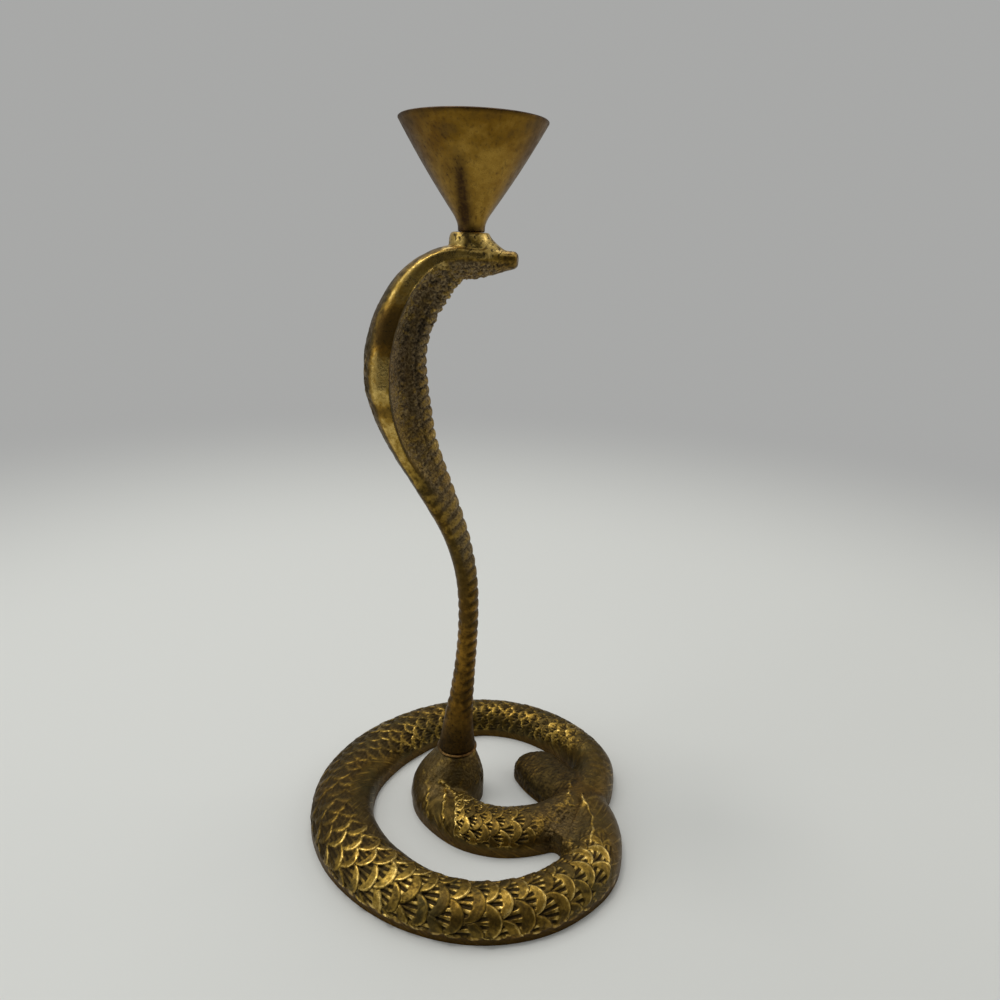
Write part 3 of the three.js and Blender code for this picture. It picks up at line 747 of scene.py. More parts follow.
points = points_of(coil)
marks = marks_at(points)
rough = 0.10 * lumps(points, 5.5, 1) + 0.05 * lumps(points, 2.4, 2)
move = marks.relief * marks.level + 0.3 * marks.inside * blend(0.02, 0.3, marks.relief)
move += 0.62 * marks.chased + 0.2 * marks.cells + 0.15 * marks.lip * marks.above
move += 0.5 * marks.hem - 0.35 * marks.under_hem
move += marks.above * rough + 0.07 * marks.streaks
move += (0.55 * marks.patch + 0.35 * marks.tail_end) * (marks.pits - 0.05)
push(coil, points, normals_of(coil), move)

# %% [markdown]
# ## Wear, dirt and painted light, written on the points
# The finish has to know where the real metal is rubbed, dirty, raw or reddish, and where light and
# shade are painted. That follows from the same marks as the relief, so each point gets a number for
# each, and the materials read them. High rims and raised lines are bright, with a painted highlight
# on the scale rims and partly on the hem. Roots and the tail's end are dark, a painted shadow lines
# the scale edges, a dark reflection is painted in the hollow by the seat, and the foot is reddish.
# The flow map holds the distances along and across, for the fine file marks on the flanks.

# %% Write the coil's wear


def write(body, wear):
    """Writes each kind of wear as one number for every point, for the finish to read."""
    for name, values in wear.items():
        values = np.clip(values, 0, 1).astype(np.float32)
        layer = body.data.attributes.new(name, "FLOAT", "POINT")
        layer.data.foreach_set("value", values)
        print(body.name, name, "is", round(100 * float(values.mean())), "% on average")


def lay_out(body, along, across):
    """Writes the distances along and across as a flat map, for marks that follow the body."""
    layer = body.data.uv_layers.new(name="flow")
    corners = np.empty(len(body.data.loops), int)
    body.data.loops.foreach_get("vertex_index", corners)
    flat = np.column_stack([along, across])[corners] * MM
    layer.data.foreach_set("uv", flat.ravel())


def wear_of_coil(points, marks):
    """Where the coil is polished, dirty, raw, reddish and filed, and where highlights and shade are painted.
    """
    near, up = marks.near, points[:, 2]
    strong = np.clip(marks.relief * 1.6, 0, 1)
    faded = 1 - 0.4 * blend(0.4, 0.95, ridge_at[near]) - 0.25 * blend(38, 50, points[:, 1])
    broken = 0.5 + 0.5 * np.sin(marks.along * 1.3 + 1.2 * np.sin(marks.along * 0.53))
    # The scales' shine carries their painted rim highlight into this brightness.
    polish_and_highlight = 0.93 * strong * marks.shine * faded + marks.chased
    # The bright hem is partly rubbed metal and partly a painted highlight of light from above.
    polish_and_highlight += 0.35 * marks.lip * marks.above * broken + 1.6 * marks.hem * (0.3 + 0.7 * broken)
    polish_and_highlight += 0.08 * np.clip(marks.cells, 0, 1) + 0.3 * marks.streaks
    polish_and_highlight += 0.3 * (marks.patch + 0.4 * marks.tail_end) * blend(0.1, 0.3, marks.pits)

    # A painted dark reflection in the hollow where the loop meets the seat.
    dark_reflection_by_seat = blend(-1, 3, points[:, 0]) * (1 - blend(14, 17, from_seat(points))) * (1 - blend(9, 14, up))
    foot = (1 - blend(2.6, 3.6, up)) * (from_seat(points) > 18)
    # The scales' grime carries their painted edge shadow into this darkness.
    dirt_and_shade = strong * marks.grime + (0.42 * marks.patch + 0.65 * marks.tail_end) * (0.6 - marks.pits)
    dirt_and_shade += 0.2 * marks.crease * marks.above + 0.3 * dark_reflection_by_seat + 0.3 * np.clip(-marks.cells, 0, 1)
    dirt_and_shade += 0.22 * foot - 0.8 * marks.chased + 0.45 * marks.tail_end * blend(0, 0.5, lumps(points, 1.4, 9, 5))

    seat_skin = (1 - blend(14, 20, from_seat(points))) * blend(3, 6, up)
    flank = 1 - np.clip(marks.inside * 2, 0, 1) * (1 - 0.7 * ridge_at[near])
    return {"polish_and_highlight": polish_and_highlight, "dirt_and_shade": dirt_and_shade,
            "matt": 0.24 * marks.patch + 0.12 * seat_skin * (1 - marks.chased),
            "warm": 0.9 * foot + 0.5 * marks.crease,
            "flank": flank * blend(20, 26, from_seat(points)) * (1 - marks.tail_end)}


write(coil, wear_of_coil(points, marks))
lay_out(coil, marks.along, marks.girth)

# %% [markdown]
# ## A flat foot
# The underside of the real base is ground flat, so the skin is cut at the table and closed. The
# cut comes after the relief, so that the foot stays flat whatever the relief does above it.

# %% Cut the foot


def cut_flat(body):
    """Cuts away all that lies below the table and closes the cut."""
    pick(body)
    bpy.ops.object.mode_set(mode="EDIT")
    bpy.ops.mesh.select_all(action="SELECT")
    bpy.ops.mesh.bisect(plane_co=(0, 0, 0), plane_no=(0, 0, 1), clear_inner=True, threshold=1e-6)
    bpy.ops.mesh.fill(use_beauty=True)
    bpy.ops.mesh.select_all(action="SELECT")
    bpy.ops.mesh.normals_make_consistent(inside=False)
    bpy.ops.object.mode_set(mode="OBJECT")
    print(body.name, "now ends at a height of", round(points_of(body)[:, 2].min(), 3))


cut_flat(coil)

# %% [markdown]
# ## A hole for the screw
# Under the seat a wide recess takes the screw's head and washer, and a narrower hole takes its
# shank. Both are cut out with cylinders, as a drill would do it. Then the piece replaces its solid
# part and rides on the same body.

# %% Drill the base


def cut_out(body, tool):
    """Takes the shape of a tool out of the body and throws the tool away."""
    pick(body)
    cut = body.modifiers.new("cut", "BOOLEAN")
    cut.operation = "DIFFERENCE"
    cut.object = tool
    cut.solver = "EXACT"
    bpy.ops.object.modifier_apply(modifier=cut.name)
    bpy.data.objects.remove(tool)


def drill(body, x, y, radius, top):
    """A round hole from below the table up to a height."""
    deselect()
    bpy.ops.mesh.primitive_cylinder_add(vertices=64, radius=radius * MM, depth=(top + 2) * MM,
                                        location=(x * MM, y * MM, (top - 2) / 2 * MM))
    cut_out(body, bpy.context.object)


def finish_off(body, part, body_of_part, angle):
    """The piece takes the place of a solid part and moves with its body."""
    pick(body)
    bpy.ops.object.shade_smooth_by_angle(angle=math.radians(angle))
    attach(body, body_of_part)
    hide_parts(part)
    print(body.name, sum(len(face.vertices) - 2 for face in body.data.polygons), "triangles")


RECESS_RADIUS, RECESS_TOP = 7, 7.5
SCREW_HOLE_RADIUS = 3.3
drill(coil, NECK_X, NECK_Y, RECESS_RADIUS, RECESS_TOP)
drill(coil, NECK_X, NECK_Y, SCREW_HOLE_RADIUS, SEAT_TOP + 2)
finish_off(coil, "coiled_base", "base", 50)

# %% [markdown]
# ## The neck, the hood and the head, as wax
# One sweep again, but standing: it climbs in an S, swells to the hood and bends over to the
# snout. The section changes from a round bar to a shield with a flat ground edge, a hollow
# face on both sides of the belly and a low arched back. Only one half of it is worked out, and the
# other is its mirror image.

# %% The figure's line and section
# forward, up, half width, depth of the back, depth of the front, width of the edge, hollow
FIGURE = [
    [0, 0, 7.4, 7.4, 7.4, 0, 0], [0.1, 6.9, 6.5, 6.3, 6.4, 0, 0], [0.5, 14.8, 4.7, 5.5, 5.6, 0, 0],
    [1.2, 22.7, 4.2, 4.6, 4.7, 0, 0], [2.3, 35.6, 4.2, 4, 4, 0, 0], [3.1, 49.4, 4.2, 3.7, 3.7, 0, 0],
    [3.2, 62.2, 4.2, 3.7, 3.7, 0, 0], [2.3, 74.1, 4.2, 3.9, 3.9, 0, 0], [0.2, 84, 4.5, 4.1, 4.2, 0.2, 0],
    [-3.6, 94.5, 5.4, 4.3, 5.1, 0.5, 0.05], [-9.3, 105.1, 7.1, 4.3, 7.1, 0.9, 0.2],
    [-14.9, 115.4, 9.4, 4.7, 8.7, 1.3, 0.55], [-19.4, 125.3, 12.8, 5.9, 9.8, 2, 0.95],
    [-22.6, 136.2, 17.1, 7.8, 11.1, 3.4, 1], [-24.4, 147.2, 19.5, 9.4, 11.3, 5.1, 1],
    [-24.1, 158.3, 19.2, 9.7, 10.4, 5.1, 1], [-21.8, 169.5, 17.1, 8.8, 10.4, 5.1, 1],
    [-17.7, 179.9, 13.7, 6.5, 11.6, 5.1, 1], [-11.2, 187.3, 10, 4.1, 10.8, 4.1, 0.65],
    [-3, 190.7, 8, 3, 8.4, 1.6, 0], [3, 190.3, 8, 4.4, 7.3, 0, 0], [6.6, 190.1, 7.3, 4.4, 6.2, 0, 0],
    [9.6, 189.9, 5.7, 3.2, 5.1, 0, 0], [13, 189.8, 4.1, 2.5, 3.9, 0, 0], [15.8, 189.7, 3.6, 2.4, 3.1, 0, 0],
    [16.7, 189.7, 2.7, 1.6, 2.1, 0, 0],
]
BELLY_HALF_WIDTH = 5.2
fig_run, fig_place, fig_way, fig_size = smooth_line(FIGURE, LINE_STEP)
fig_way[0] = (0, 1)
fig_belly = np.column_stack([fig_way[:, 1], -fig_way[:, 0]])
print("the figure is", round(fig_run[-1]), "mm long")


def figure_section(half, back, front, edge, hollow):
    """Half of the outline, from the spine round one side to the belly: across and forward."""
    lip = edge / 2
    turn = np.linspace(math.pi / 2, 0, 20)
    heel = lip * (1 - 0.8 * hollow)
    spine = np.column_stack([half * np.cos(turn), -heel - (back - heel) * np.sin(turn) ** 0.85])
    turn = np.linspace(0, math.pi / 2, 26)
    rounded = np.column_stack([half * np.cos(turn), lip + (front - lip) * np.sin(turn)])
    ridge = min(BELLY_HALF_WIDTH, half * 0.8)
    corners = np.array([[half, lip], [half - 1.2, lip + 0.1], [ridge + 0.6 * (half - ridge), lip * 0.9],
                        [ridge + 0.12 * (half - ridge), lip * 0.5 + front * 0.08],
                        [ridge * 0.95, front * 0.3], [ridge * 0.8, front * 0.72],
                        [ridge * 0.45, front * 0.95], [0, front]])
    steps = np.linspace(0, len(corners) - 1, 26)
    face = np.column_stack([np.interp(steps, range(len(corners)), corners[:, k]) for k in range(2)])
    face[1:-1] = (face[:-2] + 2 * face[1:-1] + face[2:]) / 4
    return np.vstack([spine, rounded + (face - rounded) * hollow])

# %% [markdown]
# ## The way the head looks
# The figure is drawn in its own frame, with x forward and its foot on the neck's axis, and then
# turned by 6 degrees. The boss that the cup stands on is a stack of ovals that reach further
# forward the lower they lie, so that it slopes down to the snout but stays upright behind.

# %% Sweep the figure and add the boss
FACING = math.radians(-6)
FACING_X, FACING_Y = math.cos(FACING), math.sin(FACING)
FIGURE_CELL = 0.42


def to_part_frame(at):
    """From the figure's own frame, x forward, to the frame of all the parts."""
    return np.column_stack([NECK_X + at[:, 0] * FACING_X - at[:, 1] * FACING_Y,
                            NECK_Y + at[:, 0] * FACING_Y + at[:, 1] * FACING_X, NECK_FOOT + at[:, 2]])


def to_figure_frame(at):
    x, y = at[:, 0] - NECK_X, at[:, 1] - NECK_Y
    return np.column_stack([x * FACING_X + y * FACING_Y, -x * FACING_Y + y * FACING_X, at[:, 2] - NECK_FOOT])


def figure_shell():
    rings = []
    for i in range(0, len(fig_run), 2):
        right = figure_section(*fig_size[i])
        left = right[1:-1][::-1] * (-1, 1)
        outline = np.vstack([right, left])
        at = np.column_stack([fig_place[i, 0] + fig_belly[i, 0] * outline[:, 1], outline[:, 0],
                              fig_place[i, 1] + fig_belly[i, 1] * outline[:, 1]])
        rings.append(to_part_frame(at))
    return skin("figure", rings)


# depth below the top, and how far the boss reaches ahead of the cup's axis, behind it and aside
CROWN = [(0, 5.3, 5.9, 5.6), (0.25, 5.8, 6.5, 6.1), (1, 6.3, 7.0, 6.6), (2, 7.0, 7.2, 6.9),
         (3, 8.1, 7.3, 7.1), (4, 9.4, 7.3, 7.1), (5, 11.0, 7.3, 6.7), (6, 12.8, 7.2, 6.0),
         (8, 13.0, 7.0, 5.6), (10, 9.0, 6.0, 5.0)]


def crown_shell():
    """The boss under the cup: round at the top, upright behind and sloping down to the snout."""
    turn = np.linspace(0, 2 * math.pi, 96, endpoint=False)
    rings = []
    for drop, ahead, behind, wide in CROWN:
        x = (ahead - behind) / 2 + (ahead + behind) / 2 * np.cos(turn)
        y = wide * np.sin(turn) * (1 - 0.45 * np.clip((x - 4) / 9, 0, 1))
        rings.append(np.column_stack([
            CUP_X + x * FACING_X - y * FACING_Y, CUP_Y + x * FACING_Y + y * FACING_X,
            np.full(96, CROWN_TOP - drop)]))
    return skin("crown", rings)


figure = cast("cobra_figure", [figure_shell(), crown_shell()], FIGURE_CELL, 3)

# %% [markdown]
# ## Where a point lies on the figure
# As on the coil, each point of the figure is looked up on its line: how far along it is, how far
# towards the belly or the back, and how far from the edge. The marks are laid out in these.

# %% Look up the figure's points


def on_the_figure(points):
    """Where every point is: its own frame, the section near it and its share of that depth."""
    own = to_figure_frame(points)
    index = nearest(own[:, [0, 2]], fig_place)
    off = own[:, [0, 2]] - fig_place[index]
    half, back, front, _, hollow = fig_size[index].T
    depth = (off * fig_belly[index]).sum(axis=1)
    return SimpleNamespace(
        index=index, ahead=own[:, 0], aside=own[:, 1], up=own[:, 2], wide=np.abs(own[:, 1]),
        half=half, back=back, hollow=hollow, depth=depth, share=depth / front,
        run=fig_run[index] + (off * fig_way[index]).sum(axis=1))


def belly_share(f, normals):
    """How far each point faces the belly's way: 1 faces it, 0 faces aside and -1 the back."""
    belly = fig_belly[f.index]
    belly_way = np.column_stack([belly[:, 0] * FACING_X, belly[:, 0] * FACING_Y, belly[:, 1]])
    return (normals * belly_way).sum(axis=1)


points = points_of(figure)
normals = normals_of(figure)
on_figure = on_the_figure(points)
facing_belly = belly_share(on_figure, normals)
print(round(100 * float((facing_belly > 0.5).mean())), "% of the figure's points face the belly's way")

# %% [markdown]
# ## Belly plates
# The plates are rounded lumps on the belly ridge. The grooves between them climb towards the front
# and fade out on the sides, and the nape of the neck has a row of small notches. All of them repeat
# along the figure's line, so they follow the body wherever it bends.

# %% Lay out the plates
PLATE = 4.3
NOTCH = 4.4


def plates_on(f):
    """Plates, ribs and notches of the belly and the nape, added to what is known of each point."""
    plate = (f.run - 0.45 * f.depth) / PLATE
    f.lump = np.sqrt(np.clip(1 - (2 * (plate - np.floor(plate)) - 1) ** 2, 0, 1))
    along_belly = blend(13, 20, f.up) * (1 - blend(-4, -1, f.ahead) * blend(170, 178, f.up))
    f.beads = f.hollow * blend(0.76, 0.84, f.share) * (1 - blend(4.6, 6.2, f.wide))
    f.line = f.hollow * np.exp(-((f.share - 0.73) / 0.035) ** 2) * (1 - blend(5, 6.2, f.wide))
    leaves = (1 - f.hollow) * blend(0.0, 0.5, f.share)
    f.plates = np.clip(f.beads + 0.8 * leaves, 0, 1) * along_belly
    oblique = 0.45 * np.exp(-((f.up - 95) / 10) ** 2) * blend(-0.6, 0.2, f.share)
    f.ribs = oblique * (1 - blend(0.8, 1, f.share) * 0.3) * (1 - f.beads) * along_belly
    f.along_belly = along_belly
    f.nape = blend(0.45, 0.85, -f.depth / f.back) * (1 - blend(58, 78, f.up)) * blend(10, 16, f.up)
    f.notch = np.abs(np.sin(f.run / NOTCH * math.pi))


plates_on(on_figure)
print("about", round(fig_run[-1] / PLATE), "plates would fit along the whole figure")

# %% [markdown]
# ## Rough face, ground edge and back
# The hollow face of the hood was left as it came from the mould, crumbly and dull. The edge band,
# the crown and the snout were ground smooth. The hood's back can't be seen in the photograph, so
# it is a guess: small worn scales from the same field as those on the coil.

# %% Lay out the face, the edge and the back
BACK_SCALE = 6.4
CROWN_UP = CROWN_TOP - NECK_FOOT


def surfaces_on(f, points, facing_belly):
    """The raw face and throat, the ground band and crown, and the scales of the hood's back."""
    rim = f.half - f.wide
    f.face = f.hollow * blend(0.05, 0.35, facing_belly) * blend(1.2, 2.4, rim)
    f.throat = blend(176, 184, f.up) * blend(0.1, 0.5, facing_belly) * (1 - blend(10, 14, f.ahead))
    f.raw = np.clip(f.face + f.throat, 0, 1)
    f.crumb = np.clip(0.8 * lumps(points, 2.2, 21, 6) + 1.1 * lumps(points, 1.15, 22, 6), -1.1, 0.6)
    f.blotch = blend(0.05, 0.45, lumps(points, 4.2, 26, 5)) * np.exp(-((f.up - 172) / 11) ** 2)
    f.band = f.hollow * np.exp(-rim ** 2) * (1 - blend(0.5, 0.75, np.abs(facing_belly)))
    # The line along the ground edge, where a highlight is painted.
    f.rim_line = f.hollow * np.exp(-((rim - 0.25) / 0.3) ** 2) * (1 - blend(0.6, 0.8, np.abs(facing_belly)))
    f.crown = blend(CROWN_UP - 9.5, CROWN_UP - 7, f.up) * blend(-8, -6.5, f.ahead)
    f.on_back = f.hollow * blend(0.1, 0.4, -f.share) * blend(1.5, 3.5, rim)
    f.on_back *= 1 - 0.75 * blend(152, 172, f.up)
    # The hood's back scales carry the same painted rim highlight and edge shadow as the coil's.
    f.back_level, f.back_shine, f.back_grime = scale_field(
        -f.run / BACK_SCALE + 200, f.aside / BACK_SCALE, np.full(len(points), 0.6))


surfaces_on(on_figure, points, facing_belly)
print("the raw skin covers", round(100 * float((on_figure.raw > 0.5).mean())), "% of the figure")

# %% [markdown]
# ## The figure's relief
# Plates, notches, crumbs and scales are added up to one distance for each point, and fade out at
# the foot and at the top of the boss, where other pieces are seated. The ground parts get only a
# faint wave, the rest the fine unevenness of a casting.

# %% Raise the figure's relief


def relief_of_figure(f, points):
    """How far each point of the figure moves outwards."""
    smooth = np.clip(f.band + f.crown, 0, 1)
    move = f.plates * (0.35 - 0.85 * (1 - f.lump)) - 0.3 * f.line * f.along_belly
    move += 0.3 * f.ribs * (f.lump - 0.6) + f.nape * (0.1 - 0.45 * (1 - f.notch))
    move += 0.55 * f.on_back * f.back_level
    move += 0.46 * np.clip((f.face + f.throat) * (1 - 0.9 * f.beads), 0, 1) * (f.crumb - 0.1)
    move += 0.5 * f.raw * f.blotch
    move += (1 - smooth) * (0.07 * lumps(points, 3.5, 23) + 0.05 * lumps(points, 1.5, 24))
    move += 0.04 * smooth * lumps(points, 6, 25)
    return move * (blend(0.2, 1.2, f.up) * (1 - blend(CROWN_UP - 0.8, CROWN_UP - 0.1, f.up)))


push(figure, points, normals, relief_of_figure(on_figure, points))

# %% [markdown]
# ## Wear and painted light on the figure
# The ground band is bright, but for two stretches that went dark and reddish. Near the head its top
# has a painted highlight, a painted highlight line runs along its edge, and a pale reflection is
# painted on the strip behind it. The crown has a dark streak and spots, and the snout has a painted
# highlight on top and painted shade underneath. The hood's face is dull and grey with crumbs of
# dirt, gold flecks and a painted shadow in its hollow. The neck is warmer low down and darkest at
# its foot.

# %% Write the figure's wear


def wear_of_figure(f, points, normals):
    """Where the figure is polished, dirty, raw and reddish, and where highlights and shade are painted."""
    upward = normals[:, 2]
    snout = blend(7, 12, f.ahead) * blend(183, 187.5, f.up)
    flecks = blend(0.25, 0.55, lumps(points, 2.6, 33, 5)) * (f.face + f.throat)
    low_neck = 1 - blend(40, 84, f.up)
    tarnish = np.exp(-((f.up - 168) / 8.5) ** 2) + 0.4 * np.exp(-((f.up - 140) / 3) ** 2)
    # The strip behind the band, where a pale reflection is painted.
    reflection_behind_band = blend(0.02, 0.3, -f.share) * (1 - blend(0.35, 0.6, -f.share)) * (1 - f.band)

    # The ground band is polished, and brighter towards the head with a painted highlight on its top.
    polish_and_highlight = f.band * (0.45 + 0.3 * blend(120, 160, f.up) + 0.75 * blend(172, 180, f.up) - 0.9 * tarnish)
    # A painted highlight line runs along the band's edge, and a pale painted reflection lies on the strip
    # behind it.
    polish_and_highlight += 0.3 * f.rim_line * (1 - tarnish) + 0.3 * f.hollow * reflection_behind_band * blend(130, 155, f.up)
    # The crown is polished; the snout is polished too, with a painted highlight where it faces up.
    polish_and_highlight += 0.8 * f.crown * (1 - snout) + snout * (0.3 + 0.6 * blend(0.2, 0.8, upward))
    polish_and_highlight += 0.3 * low_neck * (1 - f.plates) + 0.3 * f.plates * blend(0.6, 1, f.lump) * (1 - 0.45 * f.hollow)
    polish_and_highlight += 0.35 * f.ribs * blend(0.5, 1, f.lump) + 0.5 * f.on_back * f.back_shine
    polish_and_highlight += f.raw * (0.22 * blend(0.1, 0.5, f.crumb) + 0.4 * f.blotch)
    polish_and_highlight += 0.28 * f.face * (1 - blend(128, 162, f.up)) + 0.32 * flecks + 0.08 * f.throat

    wavy = 0.4 * np.sin(f.up * 1.7)
    streak = f.crown * np.exp(-((f.ahead - 0.9 + wavy) / 1.2) ** 2) * blend(191, 194.5, f.up)
    spots = f.crown * blend(0.2, 0.4, lumps(points, 1.7, 31, 6))
    freckles = blend(0.15, 0.4, lumps(points, 1.6, 35, 5)) * (1 - blend(0.4, 0.9, upward))
    shadow = np.exp(-((f.up - 166) / 7) ** 2) + 0.6 * np.exp(-((f.up - 152) / 4) ** 2)
    shadow *= f.face * blend(0.5, 3, f.half - f.wide - 1)
    dirt_and_shade = 0.8 * f.plates * (1 - f.lump) ** 1.5 + 0.45 * f.line + 0.45 * f.band * tarnish
    dirt_and_shade += 0.7 * f.on_back * f.back_grime + 0.5 * f.nape * (1 - f.notch)
    dirt_and_shade += 0.8 * blend(0.1, 0.9, -f.crumb) * (f.face + f.throat) * (0.55 + 0.45 * blend(125, 155, f.up))
    # Painted shade on the snout's underside, dark freckles on its sides, and the crown's dark streak and
    # spots.
    dirt_and_shade += 0.25 * snout * blend(0.1, 0.7, -upward) + 0.5 * snout * freckles + 0.9 * streak + 0.9 * spots
    dirt_and_shade += 0.4 * shadow * (1 - 0.6 * f.beads) + 0.7 * (1 - blend(2, 24, f.up)) + 0.12 * low_neck

    raw = np.clip(f.face + f.throat + 0.6 * f.plates * blend(70, 90, f.up), 0, 1)
    return {"polish_and_highlight": polish_and_highlight, "dirt_and_shade": dirt_and_shade, "matt": raw * (1 - 0.25 * f.beads),
            "warm": (1 - blend(50, 95, f.up)) + 1.1 * f.band * tarnish}


write(figure, wear_of_figure(on_figure, points, normals))
finish_off(figure, "cobra_neck", "neck", 50)

# %% [markdown]
# ## A lathe
# The cup, the ring, the washer and the screw's head are all round, and a lathe or a die makes such
# pieces. So a profile is drawn as a chain of edges and spun once round an upright axis. It starts
# from one point, which is what is left of a tiny plane when its corners are merged.

# %% A lathe


def spin(name, profile, x, y, steps):
    """Spins a profile of radius and height pairs round the upright axis at x and y."""
    deselect()
    bpy.ops.mesh.primitive_plane_add(size=0.001)
    body = bpy.context.object
    body.name = body.data.name = name
    bpy.ops.object.mode_set(mode="EDIT")
    bpy.ops.mesh.select_all(action="SELECT")
    bpy.ops.mesh.merge(type="CENTER")
    bpy.ops.object.mode_set(mode="OBJECT")
    body.data.vertices[0].co = ((x + profile[0][0]) * MM, y * MM, profile[0][1] * MM)
    bpy.ops.object.mode_set(mode="EDIT")
    bpy.ops.mesh.select_all(action="SELECT")
    for (r0, z0), (r1, z1) in zip(profile, profile[1:]):
        step = ((r1 - r0) * MM, 0, (z1 - z0) * MM)
        bpy.ops.mesh.extrude_region_move(TRANSFORM_OT_translate={"value": step})
    bpy.ops.mesh.select_all(action="SELECT")
    bpy.ops.mesh.spin(steps=steps, angle=2 * math.pi, center=(x * MM, y * MM, 0), axis=(0, 0, 1))
    bpy.ops.mesh.select_all(action="SELECT")
    bpy.ops.mesh.remove_doubles(threshold=2e-6)
    bpy.ops.mesh.normals_make_consistent(inside=False)
    bpy.ops.object.mode_set(mode="OBJECT")
    return body


def raised(profile, height):
    """The same profile, lifted to a height."""
    return [(radius, height + up) for radius, up in profile]

# %% [markdown]
# ## The cup
# The cup is a plain turned cone with a thin wall, a short flared foot and a barely rounded rim. Its
# foot reaches a hair into the crown, so that no light shows between them.

# %% Spin the cup
CUP_FOOT, CUP_TOP = heights_of("candle_cup")
CUP_HEIGHT = CUP_TOP - CUP_FOOT
CUP_FLOOR = 7.2
CUP_WALL = 1.75


def cup_profile():
    """The foot, up the outside, over the rim and down the inside to the floor."""
    outside = [(0, 0), (3.2, 0), (3.5, -0.2), (4.15, -0.2), (4.4, 0.1), (4.42, 1.2), (4.6, 2.2),
               (5, 3.2), (5.55, 4.3)]
    inside = []
    for share in np.linspace(0, 1, 34):
        at = 5 + share * (CUP_HEIGHT - 5.6)
        radius = 6 + 17.6 * share + 0.5 * math.sin(math.pi * share)
        outside.append((radius, at))
        if at > CUP_FLOOR + 0.4:
            inside.append((radius - CUP_WALL, at))
    rim = [(23.58, CUP_HEIGHT - 0.25), (23.3, CUP_HEIGHT), (22.2, CUP_HEIGHT), (21.95, CUP_HEIGHT - 0.25)]
    return outside + rim + inside[::-1] + [(5, CUP_FLOOR), (0, CUP_FLOOR)]


cup = spin("candle_cup_turned", raised(cup_profile(), CUP_FOOT), CUP_X, CUP_Y, 180)
print("the cup is", round(CUP_HEIGHT, 1), "mm high and has", len(cup.data.vertices), "points")

# %% [markdown]
# ## Wear and painted shade on the cup
# A painted dark reflection runs down the front of the cup, painted shade darkens its rim and both
# sides, and it is darker round the foot and on its left. The rest is rubbed, in clouds, and is
# brightest low down.

# %% Write the cup's wear


def wear_of_cup(points):
    """Where the cup is polished, dirty and dull, and where shade and a dark reflection are painted."""
    rise = (points[:, 2] - CUP_FOOT) / CUP_HEIGHT
    aside = points[:, 0] - CUP_X
    radius = np.maximum(np.hypot(aside, points[:, 1] - CUP_Y), 1)
    # A painted dark reflection that runs down the front of the cup.
    painted_dark_reflection = np.exp(-((aside + 1 + 4.2 * rise) / 2.2) ** 2) * (points[:, 1] < CUP_Y)
    painted_dark_reflection *= blend(0.02, 0.08, rise) * (1 - blend(0.42, 0.8, rise))
    # Painted shade, a dark reflection, on the cup's left and right sides.
    sides = blend(0.78, 1.0, np.abs(aside) / radius) * blend(0.1, 0.3, rise)
    cloudy = 0.5 + 0.5 * lumps(points * (1, 1, 1.5), 13, 43, 6)
    dots = blend(0.35, 0.55, lumps(points, 1.3, 42, 6))
    # Painted shade on the rim, and a darker band round the foot.
    painted_rim_shade_and_dark_foot = 0.85 * blend(0.975, 0.99, rise) + 0.7 * (1 - blend(0.02, 0.06, rise))
    return {"polish_and_highlight": 0.85 - 0.3 * blend(0.4, 0.95, rise) - 0.5 * cloudy,
            "dirt_and_shade": (0.9 * painted_dark_reflection + painted_rim_shade_and_dark_foot + 0.4 * sides + 0.3 * blend(-0.1, 0.7, -aside / radius)
                     + 0.12 * cloudy + 0.3 * dots),
            "matt": 0.12 * cloudy}


write(cup, wear_of_cup(points_of(cup)))
finish_off(cup, "candle_cup", "cup", 35)

# %% [markdown]
# ## The ring in the seam
# A thin reddish ring lies in the seam between the neck and its seat. It is spun like the cup, from
# a small bead profile.

# %% Spin the ring
# radius and height over its underside
BEAD = [(3.4, 0.1), (6.9, 0), (7.4, 0.2), (7.9, 0.36), (8.1, 0.6), (7.9, 0.84), (7.4, 1),
        (6.9, 1.2), (3.4, 1.1), (3.4, 0.1)]
ring = spin("seam_bead", raised(BEAD, heights_of("seam_ring")[0]), NECK_X, NECK_Y, 96)
finish_off(ring, "seam_ring", "neck_rise", 40)

# %% [markdown]
# ## The stud under the cup
# The stud and the neck's screw are hidden in use, but they come into sight when the cup or the
# neck is unscrewed, so their threads are real: a sharp profile that climbs by one pitch for every
# turn. A stack of rings can do that when each point's radius depends on its height and its angle.

# %% Cut a thread


def threaded(name, x, y, low, high, radius, pitch, sides=40):
    """A rod with a thread cut into it and a small chamfer at both ends."""
    turn = np.linspace(0, 2 * math.pi, sides, endpoint=False)
    rings = []
    for z in np.arange(low, high + 0.001, pitch / 6):
        wave = np.mod((z - low) / pitch - turn / (2 * math.pi), 1)
        cut = 0.55 * pitch * (1 - np.abs(2 * wave - 1)) * min(1, (z - low) / pitch, (high - z) / pitch)
        chamfer = max(0, 0.5 - (z - low), 0.5 - (high - z))
        r = radius - cut - chamfer
        rings.append(np.column_stack([x + r * np.cos(turn), y + r * np.sin(turn), np.full(sides, z)]))
    return skin(name, rings)


STUD_LOW, STUD_HIGH = heights_of("cup_stud")
stud = threaded("stud_thread", CUP_X, CUP_Y, STUD_LOW, STUD_HIGH, 1.98, 0.7)
finish_off(stud, "cup_stud", "cup_rise", 30)

# %% [markdown]
# ## The screw and its washer
# A screw like this has a slotted head, a plain shank and a thread. The head and the shank are spun,
# the slot is cut out with a box, and the thread is made like the stud's. The two are joined into
# one object, since they are one piece of steel. The washer is a flat ring with a softened edge.

